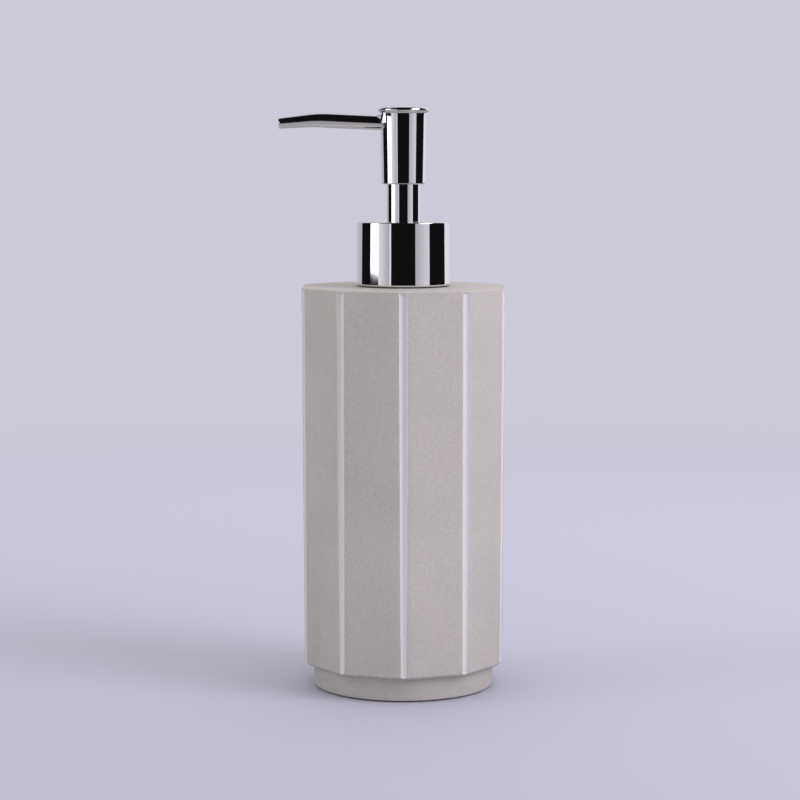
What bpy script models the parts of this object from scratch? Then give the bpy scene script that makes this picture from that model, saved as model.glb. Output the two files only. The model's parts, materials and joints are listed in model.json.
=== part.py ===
"""Soap pump dispenser: a ten-sided fluted concrete bottle with a chromed lotion pump.

Metres, +Z up. The origin is the centre of the base on the surface it stands on, and the spout
points to -X. Every part but the spout is round about the Z axis, so each joint's axis is Z.
"""

import math

import bmesh
import bpy
from mathutils import Matrix, Vector

# ---- fits
GAP = 0.0003  # left between two faces that touch or slide
LOOSE = 0.00035  # round the guide sleeve, where it passes the chromed collar
OVERCUT = 0.002  # how far a cutter runs past the face it opens

# ---- concrete bottle
CORNERS = 10
TOP_CORNER_RADIUS = 0.0374
LOW_CORNER_RADIUS = 0.0367
BODY_TOP = 0.1423
BODY_LOW = 0.0088
RIM_ROUND = 0.0005
LOW_ROUND = 0.0009
FLUTE_RADIUS = 0.0016
FOOT_OVERHANG = 0.0027  # how far the faces stand out past the foot
FOOT_DRAFT = 0.0004
FOOT_EDGE = 0.0006
FOOT_CLEARANCE = 0.0005  # the concrete's height over the surface, because the pad stands out
WALL = 0.0064
FLOOR_THICKNESS = 0.0085
ROOF_THICKNESS = 0.0115
SHOULDER_DROP = 0.007
CHAMBER_ROUND = 0.004

# ---- base pad
PAD_INSET = 0.0033
PAD_THICKNESS = 0.0015

# ---- threaded neck
NECK_BORE_RADIUS = 0.0109
NECK_WALL = 0.0017
NECK_RISE = 0.0108
INSERT_WALL = 0.0026
INSERT_FLANGE_OVERLAP = 0.0008  # how far the flange covers the rim of the concrete's hole
INSERT_FLANGE_THICKNESS = 0.0013
THREAD_HEIGHT = 0.0011
THREAD_PITCH = 0.00423
THREAD_TURNS = 1.5
THREAD_HALF_WIDTH = 0.0009
THREAD_SINK = 0.0005
THREAD_TOP_MARGIN = 0.0016
THREAD_RUN_OUT = 0.125  # share of its length over which each end of the thread fades in
THREAD_END_HEIGHT = 0.1  # share of its height that the thread keeps at its ends

# ---- collar shell and screw closure
COLLAR_SIDE_WALL = 0.00075
COLLAR_FLARE = 0.0002
COLLAR_HEIGHT = 0.0224
COLLAR_WALL = 0.0009
COLLAR_TOP_EDGE = 0.0005
COLLAR_CURL = 0.0009
COLLAR_CURL_LIP = 0.0009
COLLAR_CURL_HEIGHT = 0.0013
CLOSURE_WALL = 0.0013
CLOSURE_TOP_THICKNESS = 0.0014
CLOSURE_THREAD_CLEARANCE = 0.0004

# ---- pump housing, gasket and dip tube
GASKET_THICKNESS = 0.001
GASKET_WIDTH = 0.0022
FLANGE_THICKNESS = 0.0015
BARREL_CLEARANCE = 0.0013
BARREL_WALL = 0.0013
BARREL_RISE = 0.0045
BARREL_DEPTH = 0.0068
BORE_RADIUS = 0.006
HOUSING_WALL = 0.0011
BORE_LENGTH = 0.0462
SEAT_DEPTH = 0.002
SEAT_RADIUS = 0.003
SEAT_HOLE_RADIUS = 0.0015
SEAT_HOLE_LENGTH = 0.002
SOCKET_LENGTH = 0.0125
SOCKET_WALL = 0.00105
DIP_TUBE_RADIUS = 0.00325
DIP_TUBE_WALL = 0.00085
DIP_TUBE_FLOOR_GAP = 0.006
DIP_TUBE_END_SLOPE = 0.5

# ---- chaplet, stem wiper and guide sleeve
CHAPLET_WALL = 0.0012
CHAPLET_SKIRT = 0.0113
CHAPLET_FLANGE_THICKNESS = 0.0012
CHAPLET_WEB = 0.0024
SPIGOT_HEIGHT = 0.0027
WIPER_THICKNESS = 0.0018
SLEEVE_RADIUS = 0.006
SLEEVE_WALL = 0.0005
SLEEVE_LENGTH = 0.0202

# ---- stem and piston
STEM_RADIUS = 0.0036
STEM_BORE_RADIUS = 0.0017
STEM_NECK_RADIUS = 0.0029
STEM_FOOT_RADIUS = 0.0049
STEM_FOOT_HEIGHT = 0.0015
STEM_PORT_RADIUS = 0.0008
SEAL_HEIGHT = 0.0047
SEAL_LIP = 0.0011
SEAL_LIP_WIDTH = 0.0008
SEAL_WAIST_START = 0.0018
SEAL_SLIP = 0.001
STROKE = 0.0125

# ---- inlet valve and spring
BALL_RADIUS = 0.0022
BALL_LIFT = 0.0015
CAGE_WALL = 0.00105
CAGE_SIDE_GAP = 0.00035
CAGE_FLANGE_THICKNESS = 0.0012
CAGE_ROOF = 0.001
CAGE_TOP_HOLE_RADIUS = 0.0012
CAGE_SLOTS = 3
CAGE_SLOT_WIDTH = 0.0014
SPRING_WIRE_RADIUS = 0.0004
SPRING_COIL_RADIUS = 0.0047
SPRING_COILS = 8
SPRING_LENGTH = 0.0289
SPRING_COIL_SIDES = 14
SPRING_WIRE_SIDES = 6

# ---- head
HEAD_SLEEVE_CLEARANCE = 0.0009
HEAD_BELLY = 0.00025
HEAD_DRAFT = 0.0004
HEAD_RIM_FLARE = 0.001
HEAD_HEIGHT = 0.0271
HEAD_RIM_THICKNESS = 0.0024
HEAD_RIM_ROUND = 0.001
HEAD_FLARE_HEIGHT = 0.0016
HEAD_FLARE_ROUND = 0.0032
HEAD_RIM_LOW_ROUND = 0.0004
HEAD_DOME = 0.0002
HEAD_WALL = 0.0009
HEAD_TOP_WALL = 0.0017
HEAD_LOW_EDGE = 0.0004
HUB_INSET = 0.0005
HUB_BORE_DEPTH = 0.0122
HUB_SLEEVE_GAP = 0.0004
COLLAR_HEAD_GAP = 0.0006  # left between the head and the collar when the head is fully down

# ---- spout
SPOUT_ROOT_RADIUS = 0.00255
SPOUT_TIP_RADIUS = 0.00187
SPOUT_WALL = 0.00045
SPOUT_REACH = 0.044
SPOUT_ROOT_INSET = 0.0029
SPOUT_DROP_BELOW_TOP = 0.006
SPOUT_RISE_ANGLE = math.radians(2.6)
SPOUT_DROP_ANGLE = math.radians(5.1)
SPOUT_BEND_START = 0.028
SPOUT_BEND_RADIUS = 0.06
LINER_WALL = 0.00045

# ---- fineness of the round pieces
BIG_STEPS = 40
ROUND_STEPS = 36
INNER_STEPS = 28
SMALL_STEPS = 20
TINY_STEPS = 12
ARC_STEPS = 3
FLUTE_STEPS = 6
SPOUT_TAPER_STEPS = 8
SHARP_ANGLE = math.radians(35)
WELD_DISTANCE = 1e-7

# ---- heights worked out from the sizes above
FLAT_FACTOR = math.cos(math.pi / CORNERS)
CHAMBER_RADIUS = LOW_CORNER_RADIUS * FLAT_FACTOR - WALL
FOOT_TOP_RADIUS = LOW_CORNER_RADIUS * FLAT_FACTOR - FOOT_OVERHANG
FOOT_LOW_RADIUS = FOOT_TOP_RADIUS - FOOT_DRAFT
PAD_RADIUS = FOOT_LOW_RADIUS - PAD_INSET
PAD_RECESS_TOP = PAD_THICKNESS + GAP
CHAMBER_FLOOR = PAD_RECESS_TOP + FLOOR_THICKNESS
CHAMBER_ROOF = BODY_TOP - ROOF_THICKNESS
INSERT_RADIUS = NECK_BORE_RADIUS + INSERT_WALL
NECK_HOLE_RADIUS = INSERT_RADIUS + GAP
NECK_RADIUS = NECK_BORE_RADIUS + NECK_WALL
INSERT_FLANGE_RADIUS = NECK_HOLE_RADIUS + INSERT_FLANGE_OVERLAP
ON_BODY = BODY_TOP + GAP
NECK_TOP = ON_BODY + NECK_RISE
THREAD_CREST = NECK_RADIUS + THREAD_HEIGHT
FLANGE_RADIUS = THREAD_CREST - GAP
BARREL_RADIUS = NECK_BORE_RADIUS - BARREL_CLEARANCE
GASKET_LOW = NECK_TOP + GAP
FLANGE_LOW = GASKET_LOW + GASKET_THICKNESS + GAP
FLANGE_TOP = FLANGE_LOW + FLANGE_THICKNESS
BARREL_TOP = FLANGE_TOP + BARREL_RISE
BORE_TOP = FLANGE_TOP - BARREL_DEPTH
BORE_FLOOR = BORE_TOP - BORE_LENGTH
SEAT_LOW = BORE_FLOOR - SEAT_DEPTH
SOCKET_TOP = SEAT_LOW - SEAT_HOLE_LENGTH
COLLAR_TOP = ON_BODY + COLLAR_HEIGHT
CLOSURE_TOP = FLANGE_TOP + GAP + CLOSURE_TOP_THICKNESS
CLOSURE_BORE_RADIUS = THREAD_CREST + CLOSURE_THREAD_CLEARANCE
CLOSURE_RADIUS = CLOSURE_BORE_RADIUS + CLOSURE_WALL
COLLAR_BORE_RADIUS = CLOSURE_RADIUS + LOOSE
COLLAR_TOP_RADIUS = COLLAR_BORE_RADIUS + COLLAR_SIDE_WALL
COLLAR_LOW_RADIUS = COLLAR_TOP_RADIUS + COLLAR_FLARE
CHAPLET_LOW = BARREL_TOP + GAP - CHAPLET_SKIRT
CHAPLET_FLANGE_TOP = BARREL_TOP + GAP + CHAPLET_FLANGE_THICKNESS
SPIGOT_TOP = CHAPLET_FLANGE_TOP + SPIGOT_HEIGHT
SPIGOT_RADIUS = SLEEVE_RADIUS - SLEEVE_WALL - GAP
STEM_GUIDE_RADIUS = STEM_RADIUS + GAP
BARREL_BORE_RADIUS = BARREL_RADIUS - BARREL_WALL
CHAPLET_RADIUS = BARREL_BORE_RADIUS - GAP
SLEEVE_LOW = CHAPLET_FLANGE_TOP + GAP
SLEEVE_TOP = SLEEVE_LOW + SLEEVE_LENGTH
HEAD_LOW = COLLAR_TOP + COLLAR_HEAD_GAP + STROKE
HEAD_TOP = HEAD_LOW + HEAD_HEIGHT
HEAD_BORE_RADIUS = SLEEVE_RADIUS + HEAD_SLEEVE_CLEARANCE
HEAD_LOW_RADIUS = HEAD_BORE_RADIUS + HEAD_WALL
HEAD_MIDDLE_RADIUS = HEAD_LOW_RADIUS + HEAD_BELLY
HEAD_NECK_RADIUS = HEAD_LOW_RADIUS + HEAD_DRAFT
HEAD_RIM_RADIUS = HEAD_NECK_RADIUS + HEAD_RIM_FLARE
HEAD_CAVITY_TOP = HEAD_TOP - HEAD_DOME - HEAD_TOP_WALL
PLUG_LOW = SLEEVE_TOP + STROKE + 2 * GAP
PLUG_RADIUS = HEAD_BORE_RADIUS - GAP
PLUG_TOP = HEAD_CAVITY_TOP - GAP
HUB_RADIUS = SLEEVE_RADIUS - SLEEVE_WALL - HUB_SLEEVE_GAP
HUB_LOW = HEAD_LOW + HUB_INSET
STEM_TOP = HUB_LOW + HUB_BORE_DEPTH - GAP
CAGE_LOW = BORE_FLOOR + GAP
CAGE_BORE_RADIUS = BALL_RADIUS + CAGE_SIDE_GAP
CAGE_RADIUS = CAGE_BORE_RADIUS + CAGE_WALL
SPRING_LOW = CAGE_LOW + CAGE_FLANGE_THICKNESS + GAP
STEM_LOW = SPRING_LOW + SPRING_LENGTH + GAP
SEAL_LOW = STEM_LOW + STEM_FOOT_HEIGHT + GAP
SHOULDER_LOW = SEAL_LOW + SEAL_HEIGHT + SEAL_SLIP + GAP
SPOUT_AXIS_HEIGHT = HEAD_TOP - SPOUT_DROP_BELOW_TOP


def clear_scene():
    for obj in list(bpy.data.objects):
        bpy.data.objects.remove(obj, do_unlink=True)


def make_material(name, colour, roughness, metallic):
    material = bpy.data.materials.new(name)
    material.use_nodes = True
    shader = material.node_tree.nodes["Principled BSDF"]
    shader.inputs["Base Color"].default_value = (*colour, 1.0)
    shader.inputs["Roughness"].default_value = roughness
    shader.inputs["Metallic"].default_value = metallic
    return material


def make_materials():
    return {
        "concrete": make_material("concrete", (0.37, 0.34, 0.33), 0.85, 0.0),
        "chrome": make_material("chrome", (0.86, 0.86, 0.88), 0.06, 1.0),
        "steel": make_material("spring_steel", (0.55, 0.55, 0.56), 0.28, 1.0),
        "neck": make_material("grey_plastic", (0.30, 0.30, 0.31), 0.45, 0.0),
        "clear": make_material("natural_plastic", (0.80, 0.80, 0.78), 0.40, 0.0),
        "white": make_material("white_plastic", (0.82, 0.82, 0.80), 0.35, 0.0),
        "seal": make_material("seal_rubber", (0.06, 0.06, 0.065), 0.75, 0.0),
        "pad": make_material("pad_rubber", (0.035, 0.035, 0.037), 0.90, 0.0),
    }


def world_height(empty):
    height = 0.0
    while empty:
        height += empty.location.z
        empty = empty.parent
    return height


def make_axis(name, height, parent=None):
    """An empty on the Z axis, which carries the pieces that move together."""
    empty = bpy.data.objects.new(name, None)
    bpy.context.collection.objects.link(empty)
    empty.parent = parent
    empty.location.z = height - world_height(parent)
    return empty


def make_object(name, shape, height, material=None, parent=None):
    """A mesh object whose origin is on the Z axis at the given height."""
    bmesh.ops.translate(shape, vec=(0, 0, -height), verts=shape.verts)
    mesh = bpy.data.meshes.new(name)
    shape.to_mesh(mesh)
    shape.free()
    if material:
        mesh.materials.append(material)
        mesh.shade_smooth()
        mesh.set_sharp_from_angle(angle=SHARP_ANGLE)
    obj = bpy.data.objects.new(name, mesh)
    bpy.context.collection.objects.link(obj)
    obj.parent = parent
    obj.location.z = height - world_height(parent)
    return obj


def make_cutter(name, shape, parent=None):
    cutter = make_object(name, shape, 0.0, parent=parent)
    cutter.hide_render = True
    cutter.display_type = "WIRE"
    return cutter


def combine(target, other, operation="DIFFERENCE"):
    modifier = target.modifiers.new(other.name, "BOOLEAN")
    modifier.operation = operation
    modifier.object = other


def rounded(corners):
    """Outline points from (radius, height) or (radius, height, fillet) corners."""
    points = []
    for index, corner in enumerate(corners):
        here = Vector(corner[:2])
        fillet = corner[2] if len(corner) > 2 else 0.0
        if not fillet:
            points.append(here)
            continue
        before = (Vector(corners[index - 1][:2]) - here).normalized()
        after = (Vector(corners[(index + 1) % len(corners)][:2]) - here).normalized()
        half = before.angle(after) / 2
        middle = here + (before + after).normalized() * (fillet / math.sin(half))
        start = here + before * (fillet / math.tan(half)) - middle
        sweep = start.angle_signed(here + after * (fillet / math.tan(half)) - middle)
        for step in range(ARC_STEPS + 1):
            turn = Matrix.Rotation(-sweep * step / ARC_STEPS, 2)
            points.append(middle + turn @ start)
    return points


def turned(corners, steps):
    """A solid of revolution about Z. An outline that starts and ends on the axis stays open there."""
    shape = bmesh.new()
    points = [shape.verts.new((point.x, 0, point.y)) for point in rounded(corners)]
    on_axis = corners[0][0] == 0 and corners[-1][0] == 0
    pairs = zip(points, points[1:] if on_axis else points[1:] + points[:1])
    edges = [shape.edges.new(pair) for pair in pairs]
    bmesh.ops.spin(shape, geom=points + edges, cent=(0, 0, 0), axis=(0, 0, 1),
                   angle=2 * math.pi, steps=steps, use_merge=True)
    bmesh.ops.remove_doubles(shape, verts=shape.verts, dist=WELD_DISTANCE)
    bmesh.ops.recalc_face_normals(shape, faces=shape.faces)
    return shape


def lofted(rings):
    """A closed solid through rings of as many points each, with a flat face over both ends."""
    shape = bmesh.new()
    rows = [[shape.verts.new(point) for point in ring] for ring in rings]
    for low, high in zip(rows, rows[1:]):
        for side in range(len(low)):
            after = (side + 1) % len(low)
            shape.faces.new((low[side], low[after], high[after], high[side]))
    shape.faces.new(rows[0])
    shape.faces.new(rows[-1])
    bmesh.ops.recalc_face_normals(shape, faces=shape.faces)
    return shape


def piped(outer_rings, inner_rings):
    """A closed tube wall between two sets of rings, which are joined at both ends."""
    shape = bmesh.new()
    rows = [[shape.verts.new(point) for point in ring] for ring in outer_rings + inner_rings[::-1]]
    for low, high in zip(rows, rows[1:] + rows[:1]):
        for side in range(len(low)):
            after = (side + 1) % len(low)
            shape.faces.new((low[side], low[after], high[after], high[side]))
    bmesh.ops.recalc_face_normals(shape, faces=shape.faces)
    return shape


def fluted_outline(corner_radius, inset, height):
    """Ten flats with a half-round flute down each corner. Inset moves the whole outline inwards."""
    radius = FLUTE_RADIUS + inset
    reach = math.pi / 2 - math.pi / CORNERS - math.asin(inset / radius)
    points = []
    for corner in range(CORNERS):
        outwards = 2 * math.pi * corner / CORNERS - math.pi / 2
        centre = Vector((math.cos(outwards), math.sin(outwards), 0)) * corner_radius
        for step in range(FLUTE_STEPS + 1):
            turn = outwards + math.pi + reach * (1 - 2 * step / FLUTE_STEPS)
            point = centre + Vector((math.cos(turn), math.sin(turn), 0)) * radius
            points.append(Vector((point.x, point.y, height)))
    return points


def fluted_block():
    rings = []
    for step in range(ARC_STEPS + 1):
        turn = math.pi / 2 * step / ARC_STEPS
        inset = LOW_ROUND * (1 - math.sin(turn))
        height = BODY_LOW + LOW_ROUND * (1 - math.cos(turn))
        rings.append(fluted_outline(LOW_CORNER_RADIUS, inset, height))
    for step in range(ARC_STEPS + 1):
        turn = math.pi / 2 * step / ARC_STEPS
        inset = RIM_ROUND * (1 - math.cos(turn))
        height = BODY_TOP - RIM_ROUND * (1 - math.sin(turn))
        rings.append(fluted_outline(TOP_CORNER_RADIUS, inset, height))
    return lofted(rings)


def make_bottle(materials):
    bottle = make_object("bottle_body", fluted_block(), 0.0, materials["concrete"])
    foot = make_cutter("foot_block", turned([
        (0, FOOT_CLEARANCE), (FOOT_LOW_RADIUS, FOOT_CLEARANCE, FOOT_EDGE),
        (FOOT_TOP_RADIUS, BODY_LOW), (FOOT_TOP_RADIUS, BODY_LOW + OVERCUT), (0, BODY_LOW + OVERCUT),
    ], BIG_STEPS))
    recess = make_cutter("pad_recess", turned([
        (0, FOOT_CLEARANCE - OVERCUT), (PAD_RADIUS + GAP, FOOT_CLEARANCE - OVERCUT),
        (PAD_RADIUS + GAP, PAD_RECESS_TOP), (0, PAD_RECESS_TOP),
    ], BIG_STEPS))
    chamber = make_cutter("chamber", turned([
        (0, CHAMBER_FLOOR), (CHAMBER_RADIUS, CHAMBER_FLOOR, CHAMBER_ROUND),
        (CHAMBER_RADIUS, CHAMBER_ROOF - SHOULDER_DROP, CHAMBER_ROUND),
        (NECK_HOLE_RADIUS, CHAMBER_ROOF), (NECK_HOLE_RADIUS, BODY_TOP + OVERCUT), (0, BODY_TOP + OVERCUT),
    ], BIG_STEPS))
    combine(bottle, foot, "UNION")
    combine(bottle, recess)
    combine(bottle, chamber)


def make_base_pad(materials):
    shape = turned([(0, 0), (PAD_RADIUS, 0), (PAD_RADIUS, PAD_THICKNESS), (0, PAD_THICKNESS)], BIG_STEPS)
    make_object("base_pad", shape, 0.0, materials["pad"])


def thread_ridge():
    """A right-hand ridge that sinks into the neck wall and runs out at both ends."""
    sides = int(THREAD_TURNS * ROUND_STEPS)
    start = NECK_TOP - THREAD_TOP_MARGIN - THREAD_HALF_WIDTH - THREAD_TURNS * THREAD_PITCH
    rings = []
    for side in range(sides + 1):
        turn = 2 * math.pi * THREAD_TURNS * side / sides
        height = start + THREAD_PITCH * THREAD_TURNS * side / sides
        from_end = min(side, sides - side) / sides
        stand = THREAD_HEIGHT * min(1.0, THREAD_END_HEIGHT + from_end / THREAD_RUN_OUT)
        outwards = Vector((math.cos(turn), math.sin(turn), 0))
        low, high = NECK_RADIUS - THREAD_SINK, NECK_RADIUS + stand
        rings.append([
            outwards * low + Vector((0, 0, height - THREAD_HALF_WIDTH)),
            outwards * high + Vector((0, 0, height - THREAD_HALF_WIDTH / 2)),
            outwards * high + Vector((0, 0, height + THREAD_HALF_WIDTH / 2)),
            outwards * low + Vector((0, 0, height + THREAD_HALF_WIDTH)),
        ])
    return lofted(rings)


def make_neck_insert(materials):
    insert = make_object("neck_insert", turned([
        (NECK_BORE_RADIUS, CHAMBER_ROOF), (INSERT_RADIUS, CHAMBER_ROOF), (INSERT_RADIUS, ON_BODY),
        (INSERT_FLANGE_RADIUS, ON_BODY), (INSERT_FLANGE_RADIUS, ON_BODY + INSERT_FLANGE_THICKNESS),
        (NECK_RADIUS, ON_BODY + INSERT_FLANGE_THICKNESS), (NECK_RADIUS, NECK_TOP), (NECK_BORE_RADIUS, NECK_TOP),
    ], ROUND_STEPS), CHAMBER_ROOF, materials["neck"])
    combine(insert, make_cutter("neck_thread", thread_ridge()), "UNION")


def make_gasket(materials, parent):
    make_object("neck_gasket", turned([
        (FLANGE_RADIUS - GASKET_WIDTH, GASKET_LOW), (FLANGE_RADIUS, GASKET_LOW),
        (FLANGE_RADIUS, GASKET_LOW + GASKET_THICKNESS),
        (FLANGE_RADIUS - GASKET_WIDTH, GASKET_LOW + GASKET_THICKNESS),
    ], INNER_STEPS), GASKET_LOW, materials["seal"], parent)


def make_housing(materials, parent):
    socket_bore = DIP_TUBE_RADIUS + GAP
    socket_radius = socket_bore + SOCKET_WALL
    barrel = BORE_RADIUS + HOUSING_WALL
    make_object("pump_housing", turned([
        (BARREL_BORE_RADIUS, BARREL_TOP), (BARREL_BORE_RADIUS, BORE_TOP), (BORE_RADIUS, BORE_TOP),
        (BORE_RADIUS, BORE_FLOOR), (SEAT_RADIUS, BORE_FLOOR), (SEAT_HOLE_RADIUS, SEAT_LOW),
        (SEAT_HOLE_RADIUS, SOCKET_TOP), (socket_bore, SOCKET_TOP), (socket_bore, SOCKET_TOP - SOCKET_LENGTH),
        (socket_radius, SOCKET_TOP - SOCKET_LENGTH), (socket_radius, SOCKET_TOP - HOUSING_WALL),
        (barrel, SEAT_LOW - HOUSING_WALL), (barrel, BORE_TOP - HOUSING_WALL),
        (BARREL_RADIUS, BORE_TOP), (BARREL_RADIUS, FLANGE_LOW), (FLANGE_RADIUS, FLANGE_LOW),
        (FLANGE_RADIUS, FLANGE_TOP), (BARREL_RADIUS, FLANGE_TOP), (BARREL_RADIUS, BARREL_TOP),
    ], INNER_STEPS), BORE_FLOOR, materials["clear"], parent)


def make_chaplet(materials, parent):
    cup = CHAPLET_RADIUS - CHAPLET_WALL
    web_low = CHAPLET_FLANGE_TOP - CHAPLET_WEB
    make_object("chaplet", turned([
        (STEM_GUIDE_RADIUS, web_low), (cup, web_low), (cup, CHAPLET_LOW), (CHAPLET_RADIUS, CHAPLET_LOW),
        (CHAPLET_RADIUS, BARREL_TOP + GAP), (BARREL_RADIUS, BARREL_TOP + GAP),
        (BARREL_RADIUS, CHAPLET_FLANGE_TOP), (SPIGOT_RADIUS, CHAPLET_FLANGE_TOP),
        (SPIGOT_RADIUS, SPIGOT_TOP), (STEM_GUIDE_RADIUS, SPIGOT_TOP),
    ], INNER_STEPS), CHAPLET_LOW, materials["white"], parent)
    wiper_top = web_low - GAP
    make_object("stem_wiper", turned([
        (STEM_GUIDE_RADIUS, wiper_top - WIPER_THICKNESS), (cup - GAP, wiper_top - WIPER_THICKNESS),
        (cup - GAP, wiper_top), (STEM_GUIDE_RADIUS, wiper_top),
    ], INNER_STEPS), wiper_top - WIPER_THICKNESS, materials["seal"], parent)


def make_guide_sleeve(materials, parent):
    bore = SLEEVE_RADIUS - SLEEVE_WALL
    make_object("guide_sleeve", turned([
        (bore, SLEEVE_LOW), (SLEEVE_RADIUS, SLEEVE_LOW), (SLEEVE_RADIUS, SLEEVE_TOP), (bore, SLEEVE_TOP),
    ], ROUND_STEPS), SLEEVE_LOW, materials["chrome"], parent)


def make_dip_tube(materials, parent):
    low, top = CHAMBER_FLOOR + DIP_TUBE_FLOOR_GAP, SOCKET_TOP - GAP
    bore = DIP_TUBE_RADIUS - DIP_TUBE_WALL
    shape = turned([(bore, low), (DIP_TUBE_RADIUS, low), (DIP_TUBE_RADIUS, top), (bore, top)], SMALL_STEPS)
    for vert in shape.verts:
        if vert.co.z < low + WELD_DISTANCE:
            vert.co.z += (vert.co.x + DIP_TUBE_RADIUS) * DIP_TUBE_END_SLOPE
    make_object("dip_tube", shape, low, materials["clear"], parent)


def slot_block(turn):
    """A bar across half the cage, which opens one side slot."""
    length = CAGE_RADIUS + OVERCUT
    low, high = CAGE_LOW + CAGE_FLANGE_THICKNESS + GAP, cage_roof_low() - GAP
    shape = bmesh.new()
    middle = Matrix.Translation((length / 2, 0, (low + high) / 2))
    size = Matrix.Diagonal((length, CAGE_SLOT_WIDTH, high - low, 1))
    bmesh.ops.create_cube(shape, size=1.0, matrix=Matrix.Rotation(turn, 4, "Z") @ middle @ size)
    return shape


def ball_centre():
    """Height at which the ball rests on the conical seat, with a gap to it."""
    half_angle = math.atan2(SEAT_RADIUS - SEAT_HOLE_RADIUS, SEAT_DEPTH)
    apex = SEAT_LOW - SEAT_HOLE_RADIUS / math.tan(half_angle)
    return apex + (BALL_RADIUS + GAP) / math.sin(half_angle)


def cage_roof_low():
    return ball_centre() + BALL_RADIUS + BALL_LIFT + 2 * GAP


def make_ball_cage(materials, parent):
    roof_low = cage_roof_low()
    roof_top = roof_low + CAGE_ROOF
    flange_top = CAGE_LOW + CAGE_FLANGE_THICKNESS
    cage = make_object("ball_cage", turned([
        (CAGE_BORE_RADIUS + GAP, CAGE_LOW), (BORE_RADIUS - GAP, CAGE_LOW), (BORE_RADIUS - GAP, flange_top),
        (CAGE_RADIUS, flange_top), (CAGE_RADIUS, roof_top), (CAGE_TOP_HOLE_RADIUS, roof_top),
        (CAGE_TOP_HOLE_RADIUS, roof_low), (CAGE_BORE_RADIUS, roof_low), (CAGE_BORE_RADIUS, flange_top),
    ], INNER_STEPS), CAGE_LOW, materials["white"], parent)
    for slot in range(CAGE_SLOTS):
        turn = 2 * math.pi * slot / CAGE_SLOTS
        combine(cage, make_cutter(f"cage_slot_{slot + 1}", slot_block(turn)))


def make_inlet_ball(materials, parent):
    shape = bmesh.new()
    bmesh.ops.create_uvsphere(shape, u_segments=SMALL_STEPS, v_segments=SMALL_STEPS // 2, radius=BALL_RADIUS)
    bmesh.ops.translate(shape, vec=(0, 0, ball_centre()), verts=shape.verts)
    make_object("inlet_ball", shape, ball_centre(), materials["steel"], parent)


def make_spring(materials, parent):
    """A round wire on a helix, with its two end coils closed flat."""
    sides = SPRING_COILS * SPRING_COIL_SIDES
    low, high = SPRING_LOW + SPRING_WIRE_RADIUS, SPRING_LOW + SPRING_LENGTH - SPRING_WIRE_RADIUS
    closed = 2 * SPRING_WIRE_RADIUS + GAP
    rings = []
    for side in range(sides + 1):
        coils = side / SPRING_COIL_SIDES
        turn = 2 * math.pi * coils
        active = min(max(coils - 1, 0), SPRING_COILS - 2) / (SPRING_COILS - 2)
        ends = min(coils, 1) + max(coils - SPRING_COILS + 1, 0)
        height = low + closed * ends + (high - low - 2 * closed) * active
        outwards = Vector((math.cos(turn), math.sin(turn), 0))
        middle = outwards * SPRING_COIL_RADIUS + Vector((0, 0, height))
        rings.append([
            middle + SPRING_WIRE_RADIUS * (math.cos(angle) * outwards + math.sin(angle) * Vector((0, 0, 1)))
            for angle in (2 * math.pi * step / SPRING_WIRE_SIDES for step in range(SPRING_WIRE_SIDES))
        ])
    make_object("return_spring", lofted(rings), SPRING_LOW, materials["steel"], parent)


def make_stem(materials, parent):
    foot_top = STEM_LOW + STEM_FOOT_HEIGHT
    stem = make_object("piston_stem", turned([
        (0, foot_top), (STEM_BORE_RADIUS, foot_top), (STEM_BORE_RADIUS, STEM_TOP), (STEM_RADIUS, STEM_TOP),
        (STEM_RADIUS, SHOULDER_LOW), (STEM_NECK_RADIUS, SHOULDER_LOW), (STEM_NECK_RADIUS, foot_top),
        (STEM_FOOT_RADIUS, foot_top), (STEM_FOOT_RADIUS, STEM_LOW), (0, STEM_LOW),
    ], SMALL_STEPS), STEM_LOW, materials["white"], parent)
    port = bmesh.new()
    height = foot_top + GAP + STEM_PORT_RADIUS + SEAL_LIP
    turn = Matrix.Translation((0, 0, height)) @ Matrix.Rotation(math.pi / 2, 4, "X")
    bmesh.ops.create_cone(port, cap_ends=True, segments=TINY_STEPS, radius1=STEM_PORT_RADIUS,
                          radius2=STEM_PORT_RADIUS, depth=2 * STEM_RADIUS + OVERCUT, matrix=turn)
    combine(stem, make_cutter("stem_ports", port))


def make_seal(materials, parent):
    inner, outer = STEM_NECK_RADIUS + GAP, BORE_RADIUS - GAP
    top = SEAL_LOW + SEAL_HEIGHT
    groove = outer - SEAL_LIP_WIDTH
    make_object("piston_seal", turned([
        (inner, SEAL_LOW), (groove - SEAL_LIP_WIDTH, SEAL_LOW), (groove, SEAL_LOW + SEAL_LIP),
        (outer, SEAL_LOW), (outer, SEAL_LOW + SEAL_LIP), (groove, SEAL_LOW + SEAL_WAIST_START),
        (groove, top - SEAL_WAIST_START), (outer, top - SEAL_LIP), (outer, top), (groove, top - SEAL_LIP),
        (groove - SEAL_LIP_WIDTH, top), (inner, top),
    ], INNER_STEPS), SEAL_LOW, materials["seal"], parent)


def make_closure(materials, parent):
    low = ON_BODY + INSERT_FLANGE_THICKNESS + 2 * GAP
    hole = BARREL_RADIUS + GAP
    disc_low = CLOSURE_TOP - CLOSURE_TOP_THICKNESS
    make_object("closure_ring", turned([
        (CLOSURE_BORE_RADIUS, low), (CLOSURE_RADIUS, low), (CLOSURE_RADIUS, CLOSURE_TOP),
        (hole, CLOSURE_TOP), (hole, disc_low), (CLOSURE_BORE_RADIUS, disc_low),
    ], ROUND_STEPS), low, materials["white"], parent)


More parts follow.
